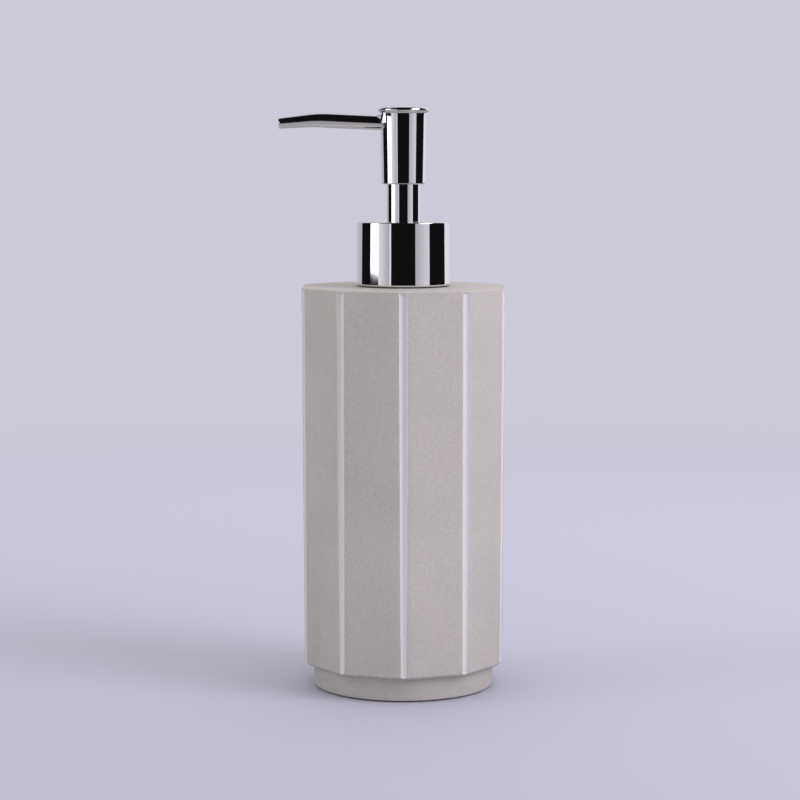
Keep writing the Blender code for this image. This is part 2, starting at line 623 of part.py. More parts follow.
def make_collar(materials, parent):
    """The shell tapers slightly upwards, and its lower edge is rolled in under the closure."""
    hole = SLEEVE_RADIUS + LOOSE
    lip = COLLAR_LOW_RADIUS - COLLAR_CURL - COLLAR_CURL_LIP
    disc_low = COLLAR_TOP - COLLAR_WALL
    make_object("collar_shell", turned([
        (lip, ON_BODY), (COLLAR_LOW_RADIUS - COLLAR_CURL / 2, ON_BODY),
        (COLLAR_LOW_RADIUS, ON_BODY + COLLAR_CURL_HEIGHT / 2, COLLAR_CURL / 2),
        (COLLAR_TOP_RADIUS, COLLAR_TOP, COLLAR_TOP_EDGE), (hole, COLLAR_TOP), (hole, disc_low),
        (COLLAR_BORE_RADIUS, disc_low), (COLLAR_BORE_RADIUS, ON_BODY + COLLAR_CURL_HEIGHT),
        (lip, ON_BODY + COLLAR_CURL_HEIGHT / 2),
    ], BIG_STEPS), ON_BODY, materials["chrome"], parent)


def spout_point(run):
    """Point and direction of the spout's centre line at a distance from the axis along it."""
    bend = SPOUT_RISE_ANGLE + SPOUT_DROP_ANGLE
    bend_length = SPOUT_BEND_RADIUS * bend
    turned_by = min(max(run - SPOUT_BEND_START, 0) / bend_length, 1) * bend
    straight = min(run, SPOUT_BEND_START)
    after = max(run - SPOUT_BEND_START - bend_length, 0)
    slope = SPOUT_RISE_ANGLE - turned_by
    out = straight * math.cos(SPOUT_RISE_ANGLE) + after * math.cos(slope)
    up = straight * math.sin(SPOUT_RISE_ANGLE) + after * math.sin(slope)
    out += SPOUT_BEND_RADIUS * (math.sin(SPOUT_RISE_ANGLE) - math.sin(slope))
    up += SPOUT_BEND_RADIUS * (math.cos(slope) - math.cos(SPOUT_RISE_ANGLE))
    return Vector((-out, 0, SPOUT_AXIS_HEIGHT + up)), Vector((-math.cos(slope), 0, math.sin(slope)))


def spout_radius(run):
    taper = max(run - SPOUT_BEND_START, 0) / (SPOUT_REACH - SPOUT_BEND_START)
    return SPOUT_ROOT_RADIUS + (SPOUT_TIP_RADIUS - SPOUT_ROOT_RADIUS) * taper


def spout_rings(start, shrink, sides):
    """Rings square to the centre line, which are smaller than the spout by shrink."""
    runs = [start, SPOUT_BEND_START]
    for step in range(SPOUT_TAPER_STEPS):
        runs.append(SPOUT_BEND_START + (SPOUT_REACH - SPOUT_BEND_START) * (step + 1) / SPOUT_TAPER_STEPS)
    rings = []
    for run in runs:
        middle, along = spout_point(run)
        across, up = Vector((0, 1, 0)), Vector((0, 1, 0)).cross(along)
        radius = spout_radius(run) - shrink
        rings.append([
            middle + radius * (math.cos(turn) * across + math.sin(turn) * up)
            for turn in (2 * math.pi * side / sides for side in range(sides))
        ])
    return rings


def spout_cutter(name, radius, start, end, parent):
    middle, along = spout_point((start + end) / 2)
    turn = along.to_track_quat("Z", "Y").to_matrix().to_4x4()
    shape = bmesh.new()
    bmesh.ops.create_cone(shape, cap_ends=True, segments=INNER_STEPS, radius1=radius, radius2=radius,
                          depth=end - start, matrix=Matrix.Translation(middle) @ turn)
    return make_cutter(name, shape, parent)


def make_head_shell(materials, parent):
    rim_height = HEAD_TOP - HEAD_DOME - HEAD_RIM_THICKNESS / 2
    flare_low = rim_height - HEAD_RIM_THICKNESS / 2 - HEAD_FLARE_HEIGHT
    shell = make_object("head_shell", turned([
        (0, HEAD_CAVITY_TOP), (HEAD_BORE_RADIUS, HEAD_CAVITY_TOP), (HEAD_BORE_RADIUS, HEAD_LOW),
        (HEAD_LOW_RADIUS, HEAD_LOW, HEAD_LOW_EDGE), (HEAD_MIDDLE_RADIUS, HEAD_LOW + HEAD_HEIGHT / 2),
        (HEAD_NECK_RADIUS, flare_low, HEAD_FLARE_ROUND), (HEAD_RIM_RADIUS, rim_height, HEAD_RIM_LOW_ROUND),
        (HEAD_RIM_RADIUS, HEAD_TOP - HEAD_DOME, HEAD_RIM_ROUND),
        (HEAD_RIM_RADIUS / 2, HEAD_TOP - HEAD_DOME / 4), (0, HEAD_TOP),
    ], ROUND_STEPS), HEAD_LOW, materials["chrome"], parent)
    combine(shell, spout_cutter("head_spout_hole", SPOUT_ROOT_RADIUS + GAP,
                                PLUG_RADIUS - OVERCUT, HEAD_RIM_RADIUS + OVERCUT, parent))


def make_head_core(materials, parent):
    hub_bore = STEM_RADIUS + GAP
    bore_top = HUB_LOW + HUB_BORE_DEPTH
    channel = SPOUT_ROOT_RADIUS - SPOUT_WALL - GAP - LINER_WALL
    core = make_object("head_core", turned([
        (0, PLUG_TOP), (PLUG_RADIUS, PLUG_TOP), (PLUG_RADIUS, PLUG_LOW), (HUB_RADIUS, PLUG_LOW),
        (HUB_RADIUS, HUB_LOW), (hub_bore, HUB_LOW), (hub_bore, bore_top), (STEM_BORE_RADIUS, bore_top),
        (STEM_BORE_RADIUS, SPOUT_AXIS_HEIGHT + channel), (0, SPOUT_AXIS_HEIGHT + channel),
    ], INNER_STEPS), HUB_LOW, materials["white"], parent)
    combine(core, spout_cutter("core_spout_socket", SPOUT_ROOT_RADIUS + GAP,
                               SPOUT_ROOT_INSET, PLUG_RADIUS + OVERCUT, parent))
    combine(core, spout_cutter("core_channel", channel, 0.0, SPOUT_ROOT_INSET + OVERCUT / 2, parent))


def make_spout(materials, parent):
    start = SPOUT_ROOT_INSET + GAP
    tube = piped(spout_rings(start, 0.0, SMALL_STEPS), spout_rings(start, SPOUT_WALL, SMALL_STEPS))
    make_object("spout_tube", tube, SPOUT_AXIS_HEIGHT, materials["chrome"], parent)
    outside = SPOUT_WALL + GAP
    liner = piped(spout_rings(start, outside, TINY_STEPS),
                  spout_rings(start, outside + LINER_WALL, TINY_STEPS))
    make_object("spout_liner", liner, SPOUT_AXIS_HEIGHT, materials["clear"], parent)


def main():
    clear_scene()
    materials = make_materials()
    make_bottle(materials)
    make_base_pad(materials)
    make_neck_insert(materials)

    pump_frame = make_axis("pump_frame_axis", FLANGE_LOW)
    make_gasket(materials, pump_frame)
    make_housing(materials, pump_frame)
    make_chaplet(materials, pump_frame)
    make_guide_sleeve(materials, pump_frame)
    make_dip_tube(materials, pump_frame)
    make_ball_cage(materials, pump_frame)
    make_spring(materials, pump_frame)
    make_inlet_ball(materials, make_axis("ball_axis", ball_centre(), pump_frame))

    closure = make_axis("closure_axis", ON_BODY, pump_frame)
    make_closure(materials, closure)
    make_collar(materials, closure)

    plunger = make_axis("plunger_axis", STEM_LOW, pump_frame)
    make_stem(materials, plunger)
    make_seal(materials, make_axis("seal_axis", SEAL_LOW, plunger))

    head = make_axis("head_axis", HEAD_LOW, plunger)
    make_head_shell(materials, head)
    make_head_core(materials, head)
    make_spout(materials, head)


main()
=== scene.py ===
import json
import math

import bmesh
import bpy
from mathutils import Matrix, Vector


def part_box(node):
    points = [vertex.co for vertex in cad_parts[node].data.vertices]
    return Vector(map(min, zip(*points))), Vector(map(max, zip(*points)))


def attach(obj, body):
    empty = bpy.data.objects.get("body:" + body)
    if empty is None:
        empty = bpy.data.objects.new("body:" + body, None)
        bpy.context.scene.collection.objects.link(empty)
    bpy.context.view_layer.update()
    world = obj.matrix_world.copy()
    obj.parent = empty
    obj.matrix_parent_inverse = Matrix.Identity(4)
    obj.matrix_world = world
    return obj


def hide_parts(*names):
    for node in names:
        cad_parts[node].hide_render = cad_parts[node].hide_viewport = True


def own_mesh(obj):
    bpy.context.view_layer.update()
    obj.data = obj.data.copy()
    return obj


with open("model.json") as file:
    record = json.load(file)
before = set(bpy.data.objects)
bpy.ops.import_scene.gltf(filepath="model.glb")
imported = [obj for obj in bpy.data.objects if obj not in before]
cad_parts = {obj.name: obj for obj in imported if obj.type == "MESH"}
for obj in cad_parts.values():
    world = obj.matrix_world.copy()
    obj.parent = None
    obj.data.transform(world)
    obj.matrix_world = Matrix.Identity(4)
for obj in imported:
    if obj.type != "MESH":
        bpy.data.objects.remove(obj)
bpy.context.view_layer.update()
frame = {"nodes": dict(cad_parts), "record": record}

joinDistance = 1e-7
near = 0.0001            # heights that differ by less than this count as the same
gap = 0.0003             # left between two faces that touch
soft = 0.00025           # rounding on the edges of the hidden pieces
past = 0.002             # how far a cutting tool runs past the piece
finishes = {}            # material slot: its finish


# ---- hands: small helpers round the modelling operators

def deselectAll():
    if bpy.context.object and bpy.context.object.mode == "EDIT":
        bpy.ops.object.mode_set(mode="OBJECT")
    bpy.ops.object.select_all(action="DESELECT")


def beginEdit(piece, mode="VERT"):
    deselectAll()
    piece.select_set(True)
    bpy.context.view_layer.objects.active = piece
    bpy.ops.object.mode_set(mode="EDIT")
    bpy.ops.mesh.select_mode(type=mode)
    bpy.ops.mesh.select_all(action="DESELECT")


def endEdit():
    bpy.ops.object.mode_set(mode="OBJECT")


def pick(piece, kind, wanted):
    # kind is verts, edges or faces, and wanted says which of them are selected
    shape = bmesh.from_edit_mesh(piece.data)
    for element in getattr(shape, kind):
        if wanted(element):
            element.select_set(True)
    shape.select_flush_mode()
    bmesh.update_edit_mesh(piece.data)


def cleanUp(piece):
    beginEdit(piece)
    bpy.ops.mesh.select_all(action="SELECT")
    bpy.ops.mesh.remove_doubles(threshold=joinDistance)
    bpy.ops.mesh.normals_make_consistent(inside=False)
    endEdit()


def bevelEdges(piece, wanted, offset, segments):
    # on a piece that is being edited
    bpy.ops.mesh.select_all(action="DESELECT")
    bpy.ops.mesh.select_mode(type="EDGE")
    pick(piece, "edges", wanted)
    bpy.ops.mesh.bevel(offset=offset, segments=segments, affect="EDGES")


def closeRings(piece, sink=1.0):
    # caps the open ends, once they are drawn towards the axis by sink
    beginEdit(piece, "EDGE")
    pick(piece, "edges", lambda edge: edge.is_boundary)
    bpy.ops.transform.resize(value=(sink, sink, 1), center_override=(0, 0, 0))
    bpy.ops.mesh.fill_holes(sides=0)
    endEdit()
    cleanUp(piece)


def settle(name):
    # the new primitive gets its name, and its place goes into its mesh
    made = bpy.context.object
    made.name = name
    bpy.ops.object.transform_apply(location=True, rotation=True)
    return made


def addRing(name, around, radius, place=(0, 0, 0), turn=(0, 0, 0), fill="NOTHING"):
    deselectAll()
    bpy.ops.mesh.primitive_circle_add(vertices=around, radius=radius, location=place, rotation=turn,
                                      fill_type=fill)
    return settle(name)


def addCylinder(name, around, radius, depth, middle, turn=(0, 0, 0), ends="NGON"):
    deselectAll()
    bpy.ops.mesh.primitive_cylinder_add(vertices=around, radius=radius, depth=depth,
                                        location=(0, 0, middle), rotation=turn, end_fill_type=ends)
    return settle(name)


def addModifier(piece, kind, **settings):
    modifier = piece.modifiers.new(kind.title(), kind)
    for name, value in settings.items():
        setattr(modifier, name, value)
    deselectAll()
    piece.select_set(True)
    bpy.context.view_layer.objects.active = piece
    bpy.ops.object.modifier_apply(modifier=modifier.name)


def cutWith(piece, tool, operation="DIFFERENCE"):
    addModifier(piece, "BOOLEAN", operation=operation, solver="EXACT", object=tool)
    bpy.data.objects.remove(tool)


def smoothOver(piece, angle=32):
    deselectAll()
    piece.select_set(True)
    bpy.context.view_layer.objects.active = piece
    bpy.ops.object.shade_smooth_by_angle(angle=math.radians(angle))
    addModifier(piece, "WEIGHTED_NORMAL", keep_sharp=True)


def softenEdges(piece, width, segments, angle):
    addModifier(piece, "BEVEL", width=width, segments=segments, limit_method="ANGLE",
                angle_limit=math.radians(angle), use_clamp_overlap=True)


def curveBetween(centreRadius, centreHeight, radius, startAngle, endAngle, steps, tall=None):
    # points on a round stretch of a turned outline, in degrees up from the outward direction;
    # tall is its radius upwards, if that differs
    points = []
    for step in range(steps + 1):
        turn = math.radians(startAngle + (endAngle - startAngle) * step / steps)
        height = centreHeight + (tall or radius) * math.sin(turn)
        points.append((centreRadius + radius * math.cos(turn), height))
    return points


def softOutline(*corners, steps=4):
    # corners are (radius, height) or (radius, height, rounding), in order round the outline
    points = []
    for index, corner in enumerate(corners):
        here = Vector(corner[:2])
        if len(corner) < 3:
            points.append(tuple(here))
            continue
        rounding = corner[2]
        before = (Vector(corners[index - 1][:2]) - here).normalized()
        after = (Vector(corners[(index + 1) % len(corners)][:2]) - here).normalized()
        half = before.angle(after) / 2
        middle = here + (before + after).normalized() * (rounding / math.sin(half))
        start = here + before * (rounding / math.tan(half)) - middle
        sweep = start.angle_signed(here + after * (rounding / math.tan(half)) - middle)
        for step in range(steps + 1):
            points.append(tuple(middle + Matrix.Rotation(-sweep * step / steps, 2) @ start))
    return points


def turnOutline(name, outline, around, closed=True):
    # a ring is drawn out from point to point of the outline, and scaled to each radius on the way
    radius, height = outline[0]
    piece = addRing(name, around, radius, (0, 0, height))
    beginEdit(piece, "EDGE")
    bpy.ops.mesh.select_all(action="SELECT")
    for nextRadius, nextHeight in outline[1:]:
        factor = nextRadius / radius
        bpy.ops.mesh.extrude_region_move(TRANSFORM_OT_translate={"value": (0, 0, nextHeight - height)})
        bpy.ops.transform.resize(value=(factor, factor, 1), center_override=(0, 0, nextHeight))
        radius, height = nextRadius, nextHeight
    if closed:
        radius, height = outline[0]
        factor = radius / outline[-1][0]
        rise = height - outline[-1][1]
        bpy.ops.mesh.extrude_region_move(TRANSFORM_OT_translate={"value": (0, 0, rise)})
        bpy.ops.transform.resize(value=(factor, factor, 1), center_override=(0, 0, height))
    else:
        bpy.ops.mesh.edge_face_add()
        bpy.ops.mesh.select_all(action="DESELECT")
        pick(piece, "edges", lambda edge: edge.is_boundary)
        bpy.ops.mesh.edge_face_add()
    endEdit()
    cleanUp(piece)
    return piece


def joinAll(pieces):
    deselectAll()
    for piece in pieces:
        piece.select_set(True)
    bpy.context.view_layer.objects.active = pieces[0]
    bpy.ops.object.join()
    cleanUp(pieces[0])
    return pieces[0]


def standFor(piece, body, slotName, *nodes):
    piece.data.materials.clear()
    piece.data.materials.append(finishes[slotName].material)
    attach(piece, body)
    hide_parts(*nodes)


def turnPiece(name, node, body, slotName, outline, around, closed=True):
    piece = turnOutline(name, outline, around, closed)
    smoothOver(piece)
    standFor(piece, body, slotName, node)


# ---- shader maths

class Level:
    # one value in a shader, so that sums on it are written as sums
    def __init__(self, finish, socket):
        self.finish = finish
        self.socket = socket

    def maths(self, operation, *values):
        return self.finish.add("ShaderNodeMath", {"operation": operation}, dict(enumerate(values)))

    def __add__(self, other):
        return self.maths("ADD", self, other)

    def __radd__(self, other):
        return self.maths("ADD", other, self)

    def __sub__(self, other):
        return self.maths("SUBTRACT", self, other)

    def __rsub__(self, other):
        return self.maths("SUBTRACT", other, self)

    def __mul__(self, other):
        return self.maths("MULTIPLY", self, other)

    def __rmul__(self, other):
        return self.maths("MULTIPLY", other, self)

    def __truediv__(self, other):
        return self.maths("DIVIDE", self, other)

    def __pow__(self, other):
        return self.maths("POWER", self, other)

    def __gt__(self, other):
        return self.maths("GREATER_THAN", self, other)

    def __lt__(self, other):
        return self.maths("LESS_THAN", self, other)


class Finish:
    # one material, with its shader and the place that its patterns read
    def __init__(self, name, roughness, metallic=0.0):
        self.material = bpy.data.materials.new(name)
        self.material.use_nodes = True
        self.tree = self.material.node_tree
        self.shader = self.tree.nodes["Principled BSDF"]
        self.shader.inputs["Metallic"].default_value = metallic
        self.shader.inputs["Roughness"].default_value = roughness
        self.place = self.add("ShaderNodeTexCoord", output="Object")

    def add(self, kind, settings=None, values=None, output=0):
        made = self.tree.nodes.new(kind)
        for name, value in (settings or {}).items():
            setattr(made, name, value)
        for name, value in (values or {}).items():
            self.feed(made.inputs[name], value)
        return Level(self, made.outputs[output])

    def feed(self, socket, value):
        if isinstance(value, Level):
            self.tree.links.new(value.socket, socket)
        else:
            socket.default_value = value

    def along(self):
        # the place as three values
        apart = self.add("ShaderNodeSeparateXYZ", values={0: self.place})
        return [Level(self, output) for output in apart.socket.node.outputs]

    def noise(self, scale, detail=3.0, roughness=0.5, place=None):
        return self.add("ShaderNodeTexNoise", values={
            "Vector": place or self.place, "Scale": scale, "Detail": detail, "Roughness": roughness})

    def cells(self, scale):
        # distance from the nearest point of a scatter, and that point's own red and green
        made = self.add("ShaderNodeTexVoronoi", values={"Vector": self.place, "Scale": scale})
        hue = Level(self, made.socket.node.outputs["Color"])
        red = self.add("ShaderNodeSeparateColor", values={0: hue})
        return made, red, Level(self, red.socket.node.outputs[1])

    def shaded(self, colour, tone):
        grey = self.add("ShaderNodeCombineColor", values={0: tone, 1: tone, 2: tone})
        return self.blend(1.0, colour, grey, "MULTIPLY")

    def stretch(self, scale):
        return self.add("ShaderNodeMapping", values={"Vector": self.place, "Scale": scale})

    def blend(self, factor, first, second, mode="MIX"):
        colours = [colour if isinstance(colour, Level) else (*colour, 1) for colour in (first, second)]
        return self.add("ShaderNodeMix", {"data_type": "RGBA", "blend_type": mode},
                        {0: factor, 6: colours[0], 7: colours[1]}, output=2)

    def between(self, value, low, high, newLow=0.0, newHigh=1.0):
        return self.add("ShaderNodeMapRange", {"interpolation_type": "SMOOTHSTEP"}, {
            "Value": value, "From Min": low, "From Max": high, "To Min": newLow, "To Max": newHigh})

    def bump(self, height, distance, strength=1.0, under=None):
        values = {"Height": height, "Distance": distance, "Strength": strength}
        if under:
            values["Normal"] = under
        return self.add("ShaderNodeBump", values=values)

    def use(self, **sockets):
        for name, value in sockets.items():
            self.feed(self.shader.inputs[name.replace("_", " ")], value)


# ---- camera and studio

view = {
    "lens": 105.66,
    "sensor": 36,
    "distance": 0.82807,
    "height": 0.18746,
    "aside": -0.0012,
    "lookDown": 5.9,
}

studio = {
    "backdrop": (0.604, 0.592, 0.694),
    "daylight": (0.68, 0.665, 0.70),    # what lights the matt surfaces
    "floor": (0.585, 0.585, 0.68),
    "floorRoughness": 0.8,
    "floorClear": 0.2,       # how far out the floor stays solid
    "floorGone": 1.0,        # where it has melted into the backdrop
    "floorPaintedShade": 0.77,       # painted shade and painted light: how dark the floor is in front, and how light far back
    "floorPaintedLight": 1.045,
    "floorTurn": (-0.3, 0.65),      # where it starts and stops getting lighter
    "aim": (0, 0, 0.1),      # what the lamps point at
}

lamps = {
    "key_light": {"power": 6.0, "size": 0.7, "place": (0.80, -0.42, 0.62), "colour": (1.0, 0.97, 1.10),
                  "mirrored": True},
    "side_light": {"power": 2.2, "size": 0.5, "place": (-1.06, -0.28, 0.5), "colour": (1, 1, 1),
                   "mirrored": False},
    "top_light": {"power": 2.6, "size": 1.0, "place": (0, 0.1, 1.2), "colour": (1, 1, 1),
                  "mirrored": False},
}

# Cards that only the polished metal sees: where each starts and ends, in degrees round from the camera
# towards the right, how bright it is at those two ends, and how high it is lit.
cards = [
    {"name": "left_back", "from": -180, "to": -121, "shades": (0.66, 0.50), "lit": (-0.1, 1.5)},
    {"name": "left_flag", "from": -121, "to": -87, "shades": (0, 0), "lit": (-0.1, 1.5)},
    {"name": "left_softbox", "from": -87, "to": -63, "shades": (2.0, 2.0), "lit": (0.1135, 0.75)},
    {"name": "left_wall", "from": -63, "to": -34, "shades": (0.80, 0.46), "lit": (-0.1, 0.6)},
    {"name": "left_slit", "from": -34, "to": -30, "shades": (0.85, 0.85), "lit": (-0.1, 0.6)},
    {"name": "camera_side", "from": -30, "to": 29, "shades": (0, 0), "lit": (-0.1, 1.5)},
    {"name": "right_wall", "from": 29, "to": 66, "shades": (0.50, 0.72), "lit": (-0.1, 0.6)},
    {"name": "right_flag", "from": 66, "to": 120, "shades": (0, 0), "lit": (-0.1, 1.5)},
    {"name": "right_back", "from": 120, "to": 180, "shades": (0.88, 0.66), "lit": (-0.1, 1.5)},
]
cardRing = {"radius": 0.95, "top": 1.4, "sides": 360, "dark": 0.006, "edge": 0.003}
cardTint = (0.945, 0.915, 1.0)
# the two flat cards go from one shade to another with the distance from their centre
ceilingCard = {"height": 1.4, "radius": 1.0, "centre": -0.9, "shades": (0.006, 0.75),
               "reach": (1.0, 1.5)}
floorCard = {"height": 0.001, "radius": 0.94, "centre": 0.0, "shades": (0.39, 0.1),
             "reach": (0.3, 0.85)}


def makeCamera():
    data = bpy.data.cameras.new("camera")
    data.lens = view["lens"]
    data.sensor_width = view["sensor"]
    data.clip_start = 0.01
    camera = bpy.data.objects.new("camera", data)
    camera.location = (view["aside"], -view["distance"], view["height"])
    camera.rotation_euler = (math.radians(90 - view["lookDown"]), 0, 0)
    bpy.context.scene.collection.objects.link(camera)
    bpy.context.scene.camera = camera


def makeLight(name, look):
    data = bpy.data.lights.new(name, "AREA")
    data.shape = "DISK"
    data.size = look["size"]
    data.energy = look["power"]
    data.color = look["colour"]
    lamp = bpy.data.objects.new(name, data)
    lamp.location = look["place"]
    towards = Vector(studio["aim"]) - Vector(look["place"])
    lamp.rotation_euler = towards.to_track_quat("-Z", "Y").to_euler()
    lamp.visible_glossy = look["mirrored"]      # without it, the polished metal sees only the cards
    bpy.context.scene.collection.objects.link(lamp)


def azimuthOf(point):
    return math.degrees(math.atan2(point.x, -point.y))


def makeCard(card):
    # a slice of a tall round wall
    panel = addCylinder(card["name"], cardRing["sides"], cardRing["radius"], cardRing["top"],
                        cardRing["top"] / 2, ends="NOTHING")
    start, end = card["from"], card["to"]
    low, top = card["lit"]
    beginEdit(panel, "FACE")
    pick(panel, "faces", lambda face: not start < azimuthOf(face.calc_center_median()) < end)
    bpy.ops.mesh.delete(type="FACE")
    endEdit()

    light = Finish(card["name"], 1.0)
    x, y, z = light.along()
    angle = x.maths("ARCTAN2", x, -1 * y)
    glow = light.between(angle, math.radians(start), math.radians(end), *card["shades"])
    edge = cardRing["edge"]
    lit = light.between(z, low - edge, low + edge) * light.between(z, top + edge, top - edge)
    glow = glow * lit + cardRing["dark"]
    finishCard(panel, light, glow)


def finishCard(panel, light, glow):
    shine = light.add("ShaderNodeEmission", values={"Color": (*cardTint, 1), "Strength": glow})
    light.tree.links.new(shine.socket, light.tree.nodes["Material Output"].inputs["Surface"])
    panel.data.materials.append(light.material)
    for way in ("camera", "diffuse", "transmission", "shadow", "volume_scatter"):
        setattr(panel, "visible_" + way, False)


def makeFlatCard(name, card):
    panel = addRing(name, 96, card["radius"], (0, 0, card["height"]), fill="NGON")
    light = Finish(name, 1.0)
    x, y = light.along()[:2]
    y = y - card["centre"]
    distance = (x * x + y * y) ** 0.5
    finishCard(panel, light, light.between(distance, *card["reach"], *card["shades"]))


def makeFloor():
    floor = addRing("floor", 96, studio["floorGone"], fill="NGON")
    paper = Finish("floor_paper", studio["floorRoughness"])
    away = paper.add("ShaderNodeVectorMath", {"operation": "LENGTH"}, {0: paper.place}, output="Value")
    gone = paper.between(away, studio["floorClear"], studio["floorGone"])
    # painted shade and painted light: the floor's colour is darker in front and lighter far back, standing
    # in for how the light falls on it
    paintedFloorShading = paper.between(paper.along()[1], *studio["floorTurn"], studio["floorPaintedShade"],
                         studio["floorPaintedLight"])
    tone = paintedFloorShading * (0.985 + 0.015 * paper.noise(3.0, 2.0))
    paper.use(Base_Color=paper.shaded(studio["floor"], tone), Specular_IOR_Level=0.2)
    clear = paper.add("ShaderNodeBsdfTransparent")
    shader = Level(paper, paper.shader.outputs[0])
    mixed = paper.add("ShaderNodeMixShader", values={0: gone, 1: shader, 2: clear})
    paper.tree.links.new(mixed.socket, paper.tree.nodes["Material Output"].inputs["Surface"])
    floor.data.materials.append(paper.material)


def makeStudio():
    world = bpy.data.worlds.new("studio")
    bpy.context.scene.world = world
    world.use_nodes = True
    nodes, links = world.node_tree.nodes, world.node_tree.links
    mixed = nodes.new("ShaderNodeMix")
    mixed.data_type = "RGBA"
    mixed.inputs[6].default_value = (*studio["backdrop"], 1)
    mixed.inputs[7].default_value = (*studio["daylight"], 1)
    links.new(nodes.new("ShaderNodeLightPath").outputs["Is Diffuse Ray"], mixed.inputs[0])
    links.new(mixed.outputs[2], nodes["Background"].inputs["Color"])
    makeFloor()
    for card in cards:
        makeCard(card)
    makeFlatCard("ceiling_card", ceilingCard)
    makeFlatCard("floor_card", floorCard)
    for name, look in lamps.items():
        makeLight(name, look)
    bpy.context.scene.view_settings.view_transform = "Standard"


# ---- finishes

bottleShape = {
    "sides": 10,
    "draft": 0.0007,         # how much less the corner radius is at the bottom
    "fluteRadius": 0.0016,
    "fluteSteps": 40,
    "fluteSlant": 0.0008,    # how much shallower the flutes are at the bottom
    "fluteStop": 0.00045,    # they end this far below the top face
    "fluteEnd": 0.0006,
    "fluteRunOut": 0.003,
    "rimRound": 0.0004,
    "cornerRound": 0.0032,   # keeps the uncut tips of the corners within the flutes' edges
    "lowRound": 0.0012,
    "lipRound": 0.00018,
    "bodyLow": 0.0088,
    "footTop": 0.0322,
    "footLow": 0.0318,
    "footEdge": 0.0004,
    "footFillet": 0.0012,
    "filletTuck": 0.94,      # how far below the body the fillet's middle is, as a share of it
    "wall": 0.0064,
    "floorThickness": 0.0085,
    "roofThickness": 0.0115,
    "shoulderDrop": 0.007,
    "chamberRound": 0.004,
    "neckHole": 0.0138,
}

concreteLook = {
    "base": (0.480, 0.452, 0.415),
    "warm": (0.510, 0.470, 0.430),
    "cool": (0.450, 0.433, 0.402),
    "flute": (0.71, 0.69, 0.675),    # the flutes are paler than the faces, and smoother; part of their paleness is painted highlight, for the bright lines the light puts along them
    "fluteSmooth": 0.64,     # how much less rough they are
    "fluteClean": 0.6,       # how much of the grain they lose
    "fluteEdge": (0.00013, 0.00003),
    "fluteRagged": 0.00012,
    "raggedSize": 500,
    "roughness": 0.74,
    "patchSize": 9,
    "cloudSize": 38,
    "mottleSize": 420,
    "grainSize": 1300,
    "sandSize": 3400,
    "patches": 0.10,         # how strong each of them is
    "mottle": 0.14,
    "sand": 1.1,
    "grain": 0.14,
    "lowTo": 0.055,          # painted shade: it gets darker below this height, where less light reaches near the floor
    "paintedLowShade": 0.90,
    "speckSize": 900,
    "pitSize": 210,
    "paleSpeck": 0.14,
    "darkSpeck": 0.2,
    "pit": 0.35,
    "grainDepth": 0.00006,
    "waveSize": 120,
    "waveDepth": 0.0002,
}


def cornerRadii():
    low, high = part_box("bottle_body")
    top = (high.x - low.x) / 2 / math.cos(math.pi / bottleShape["sides"])
    return top - bottleShape["draft"], top


def flutePlace():
    # the lower and upper height of a flute, and how far its axis is from the middle at each
    shape = bottleShape
    lowCorner, topCorner = cornerRadii()
    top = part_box("bottle_body")[1].z - shape["fluteStop"]
    return shape["bodyLow"] - shape["fluteRunOut"], top, lowCorner + shape["fluteSlant"], topCorner


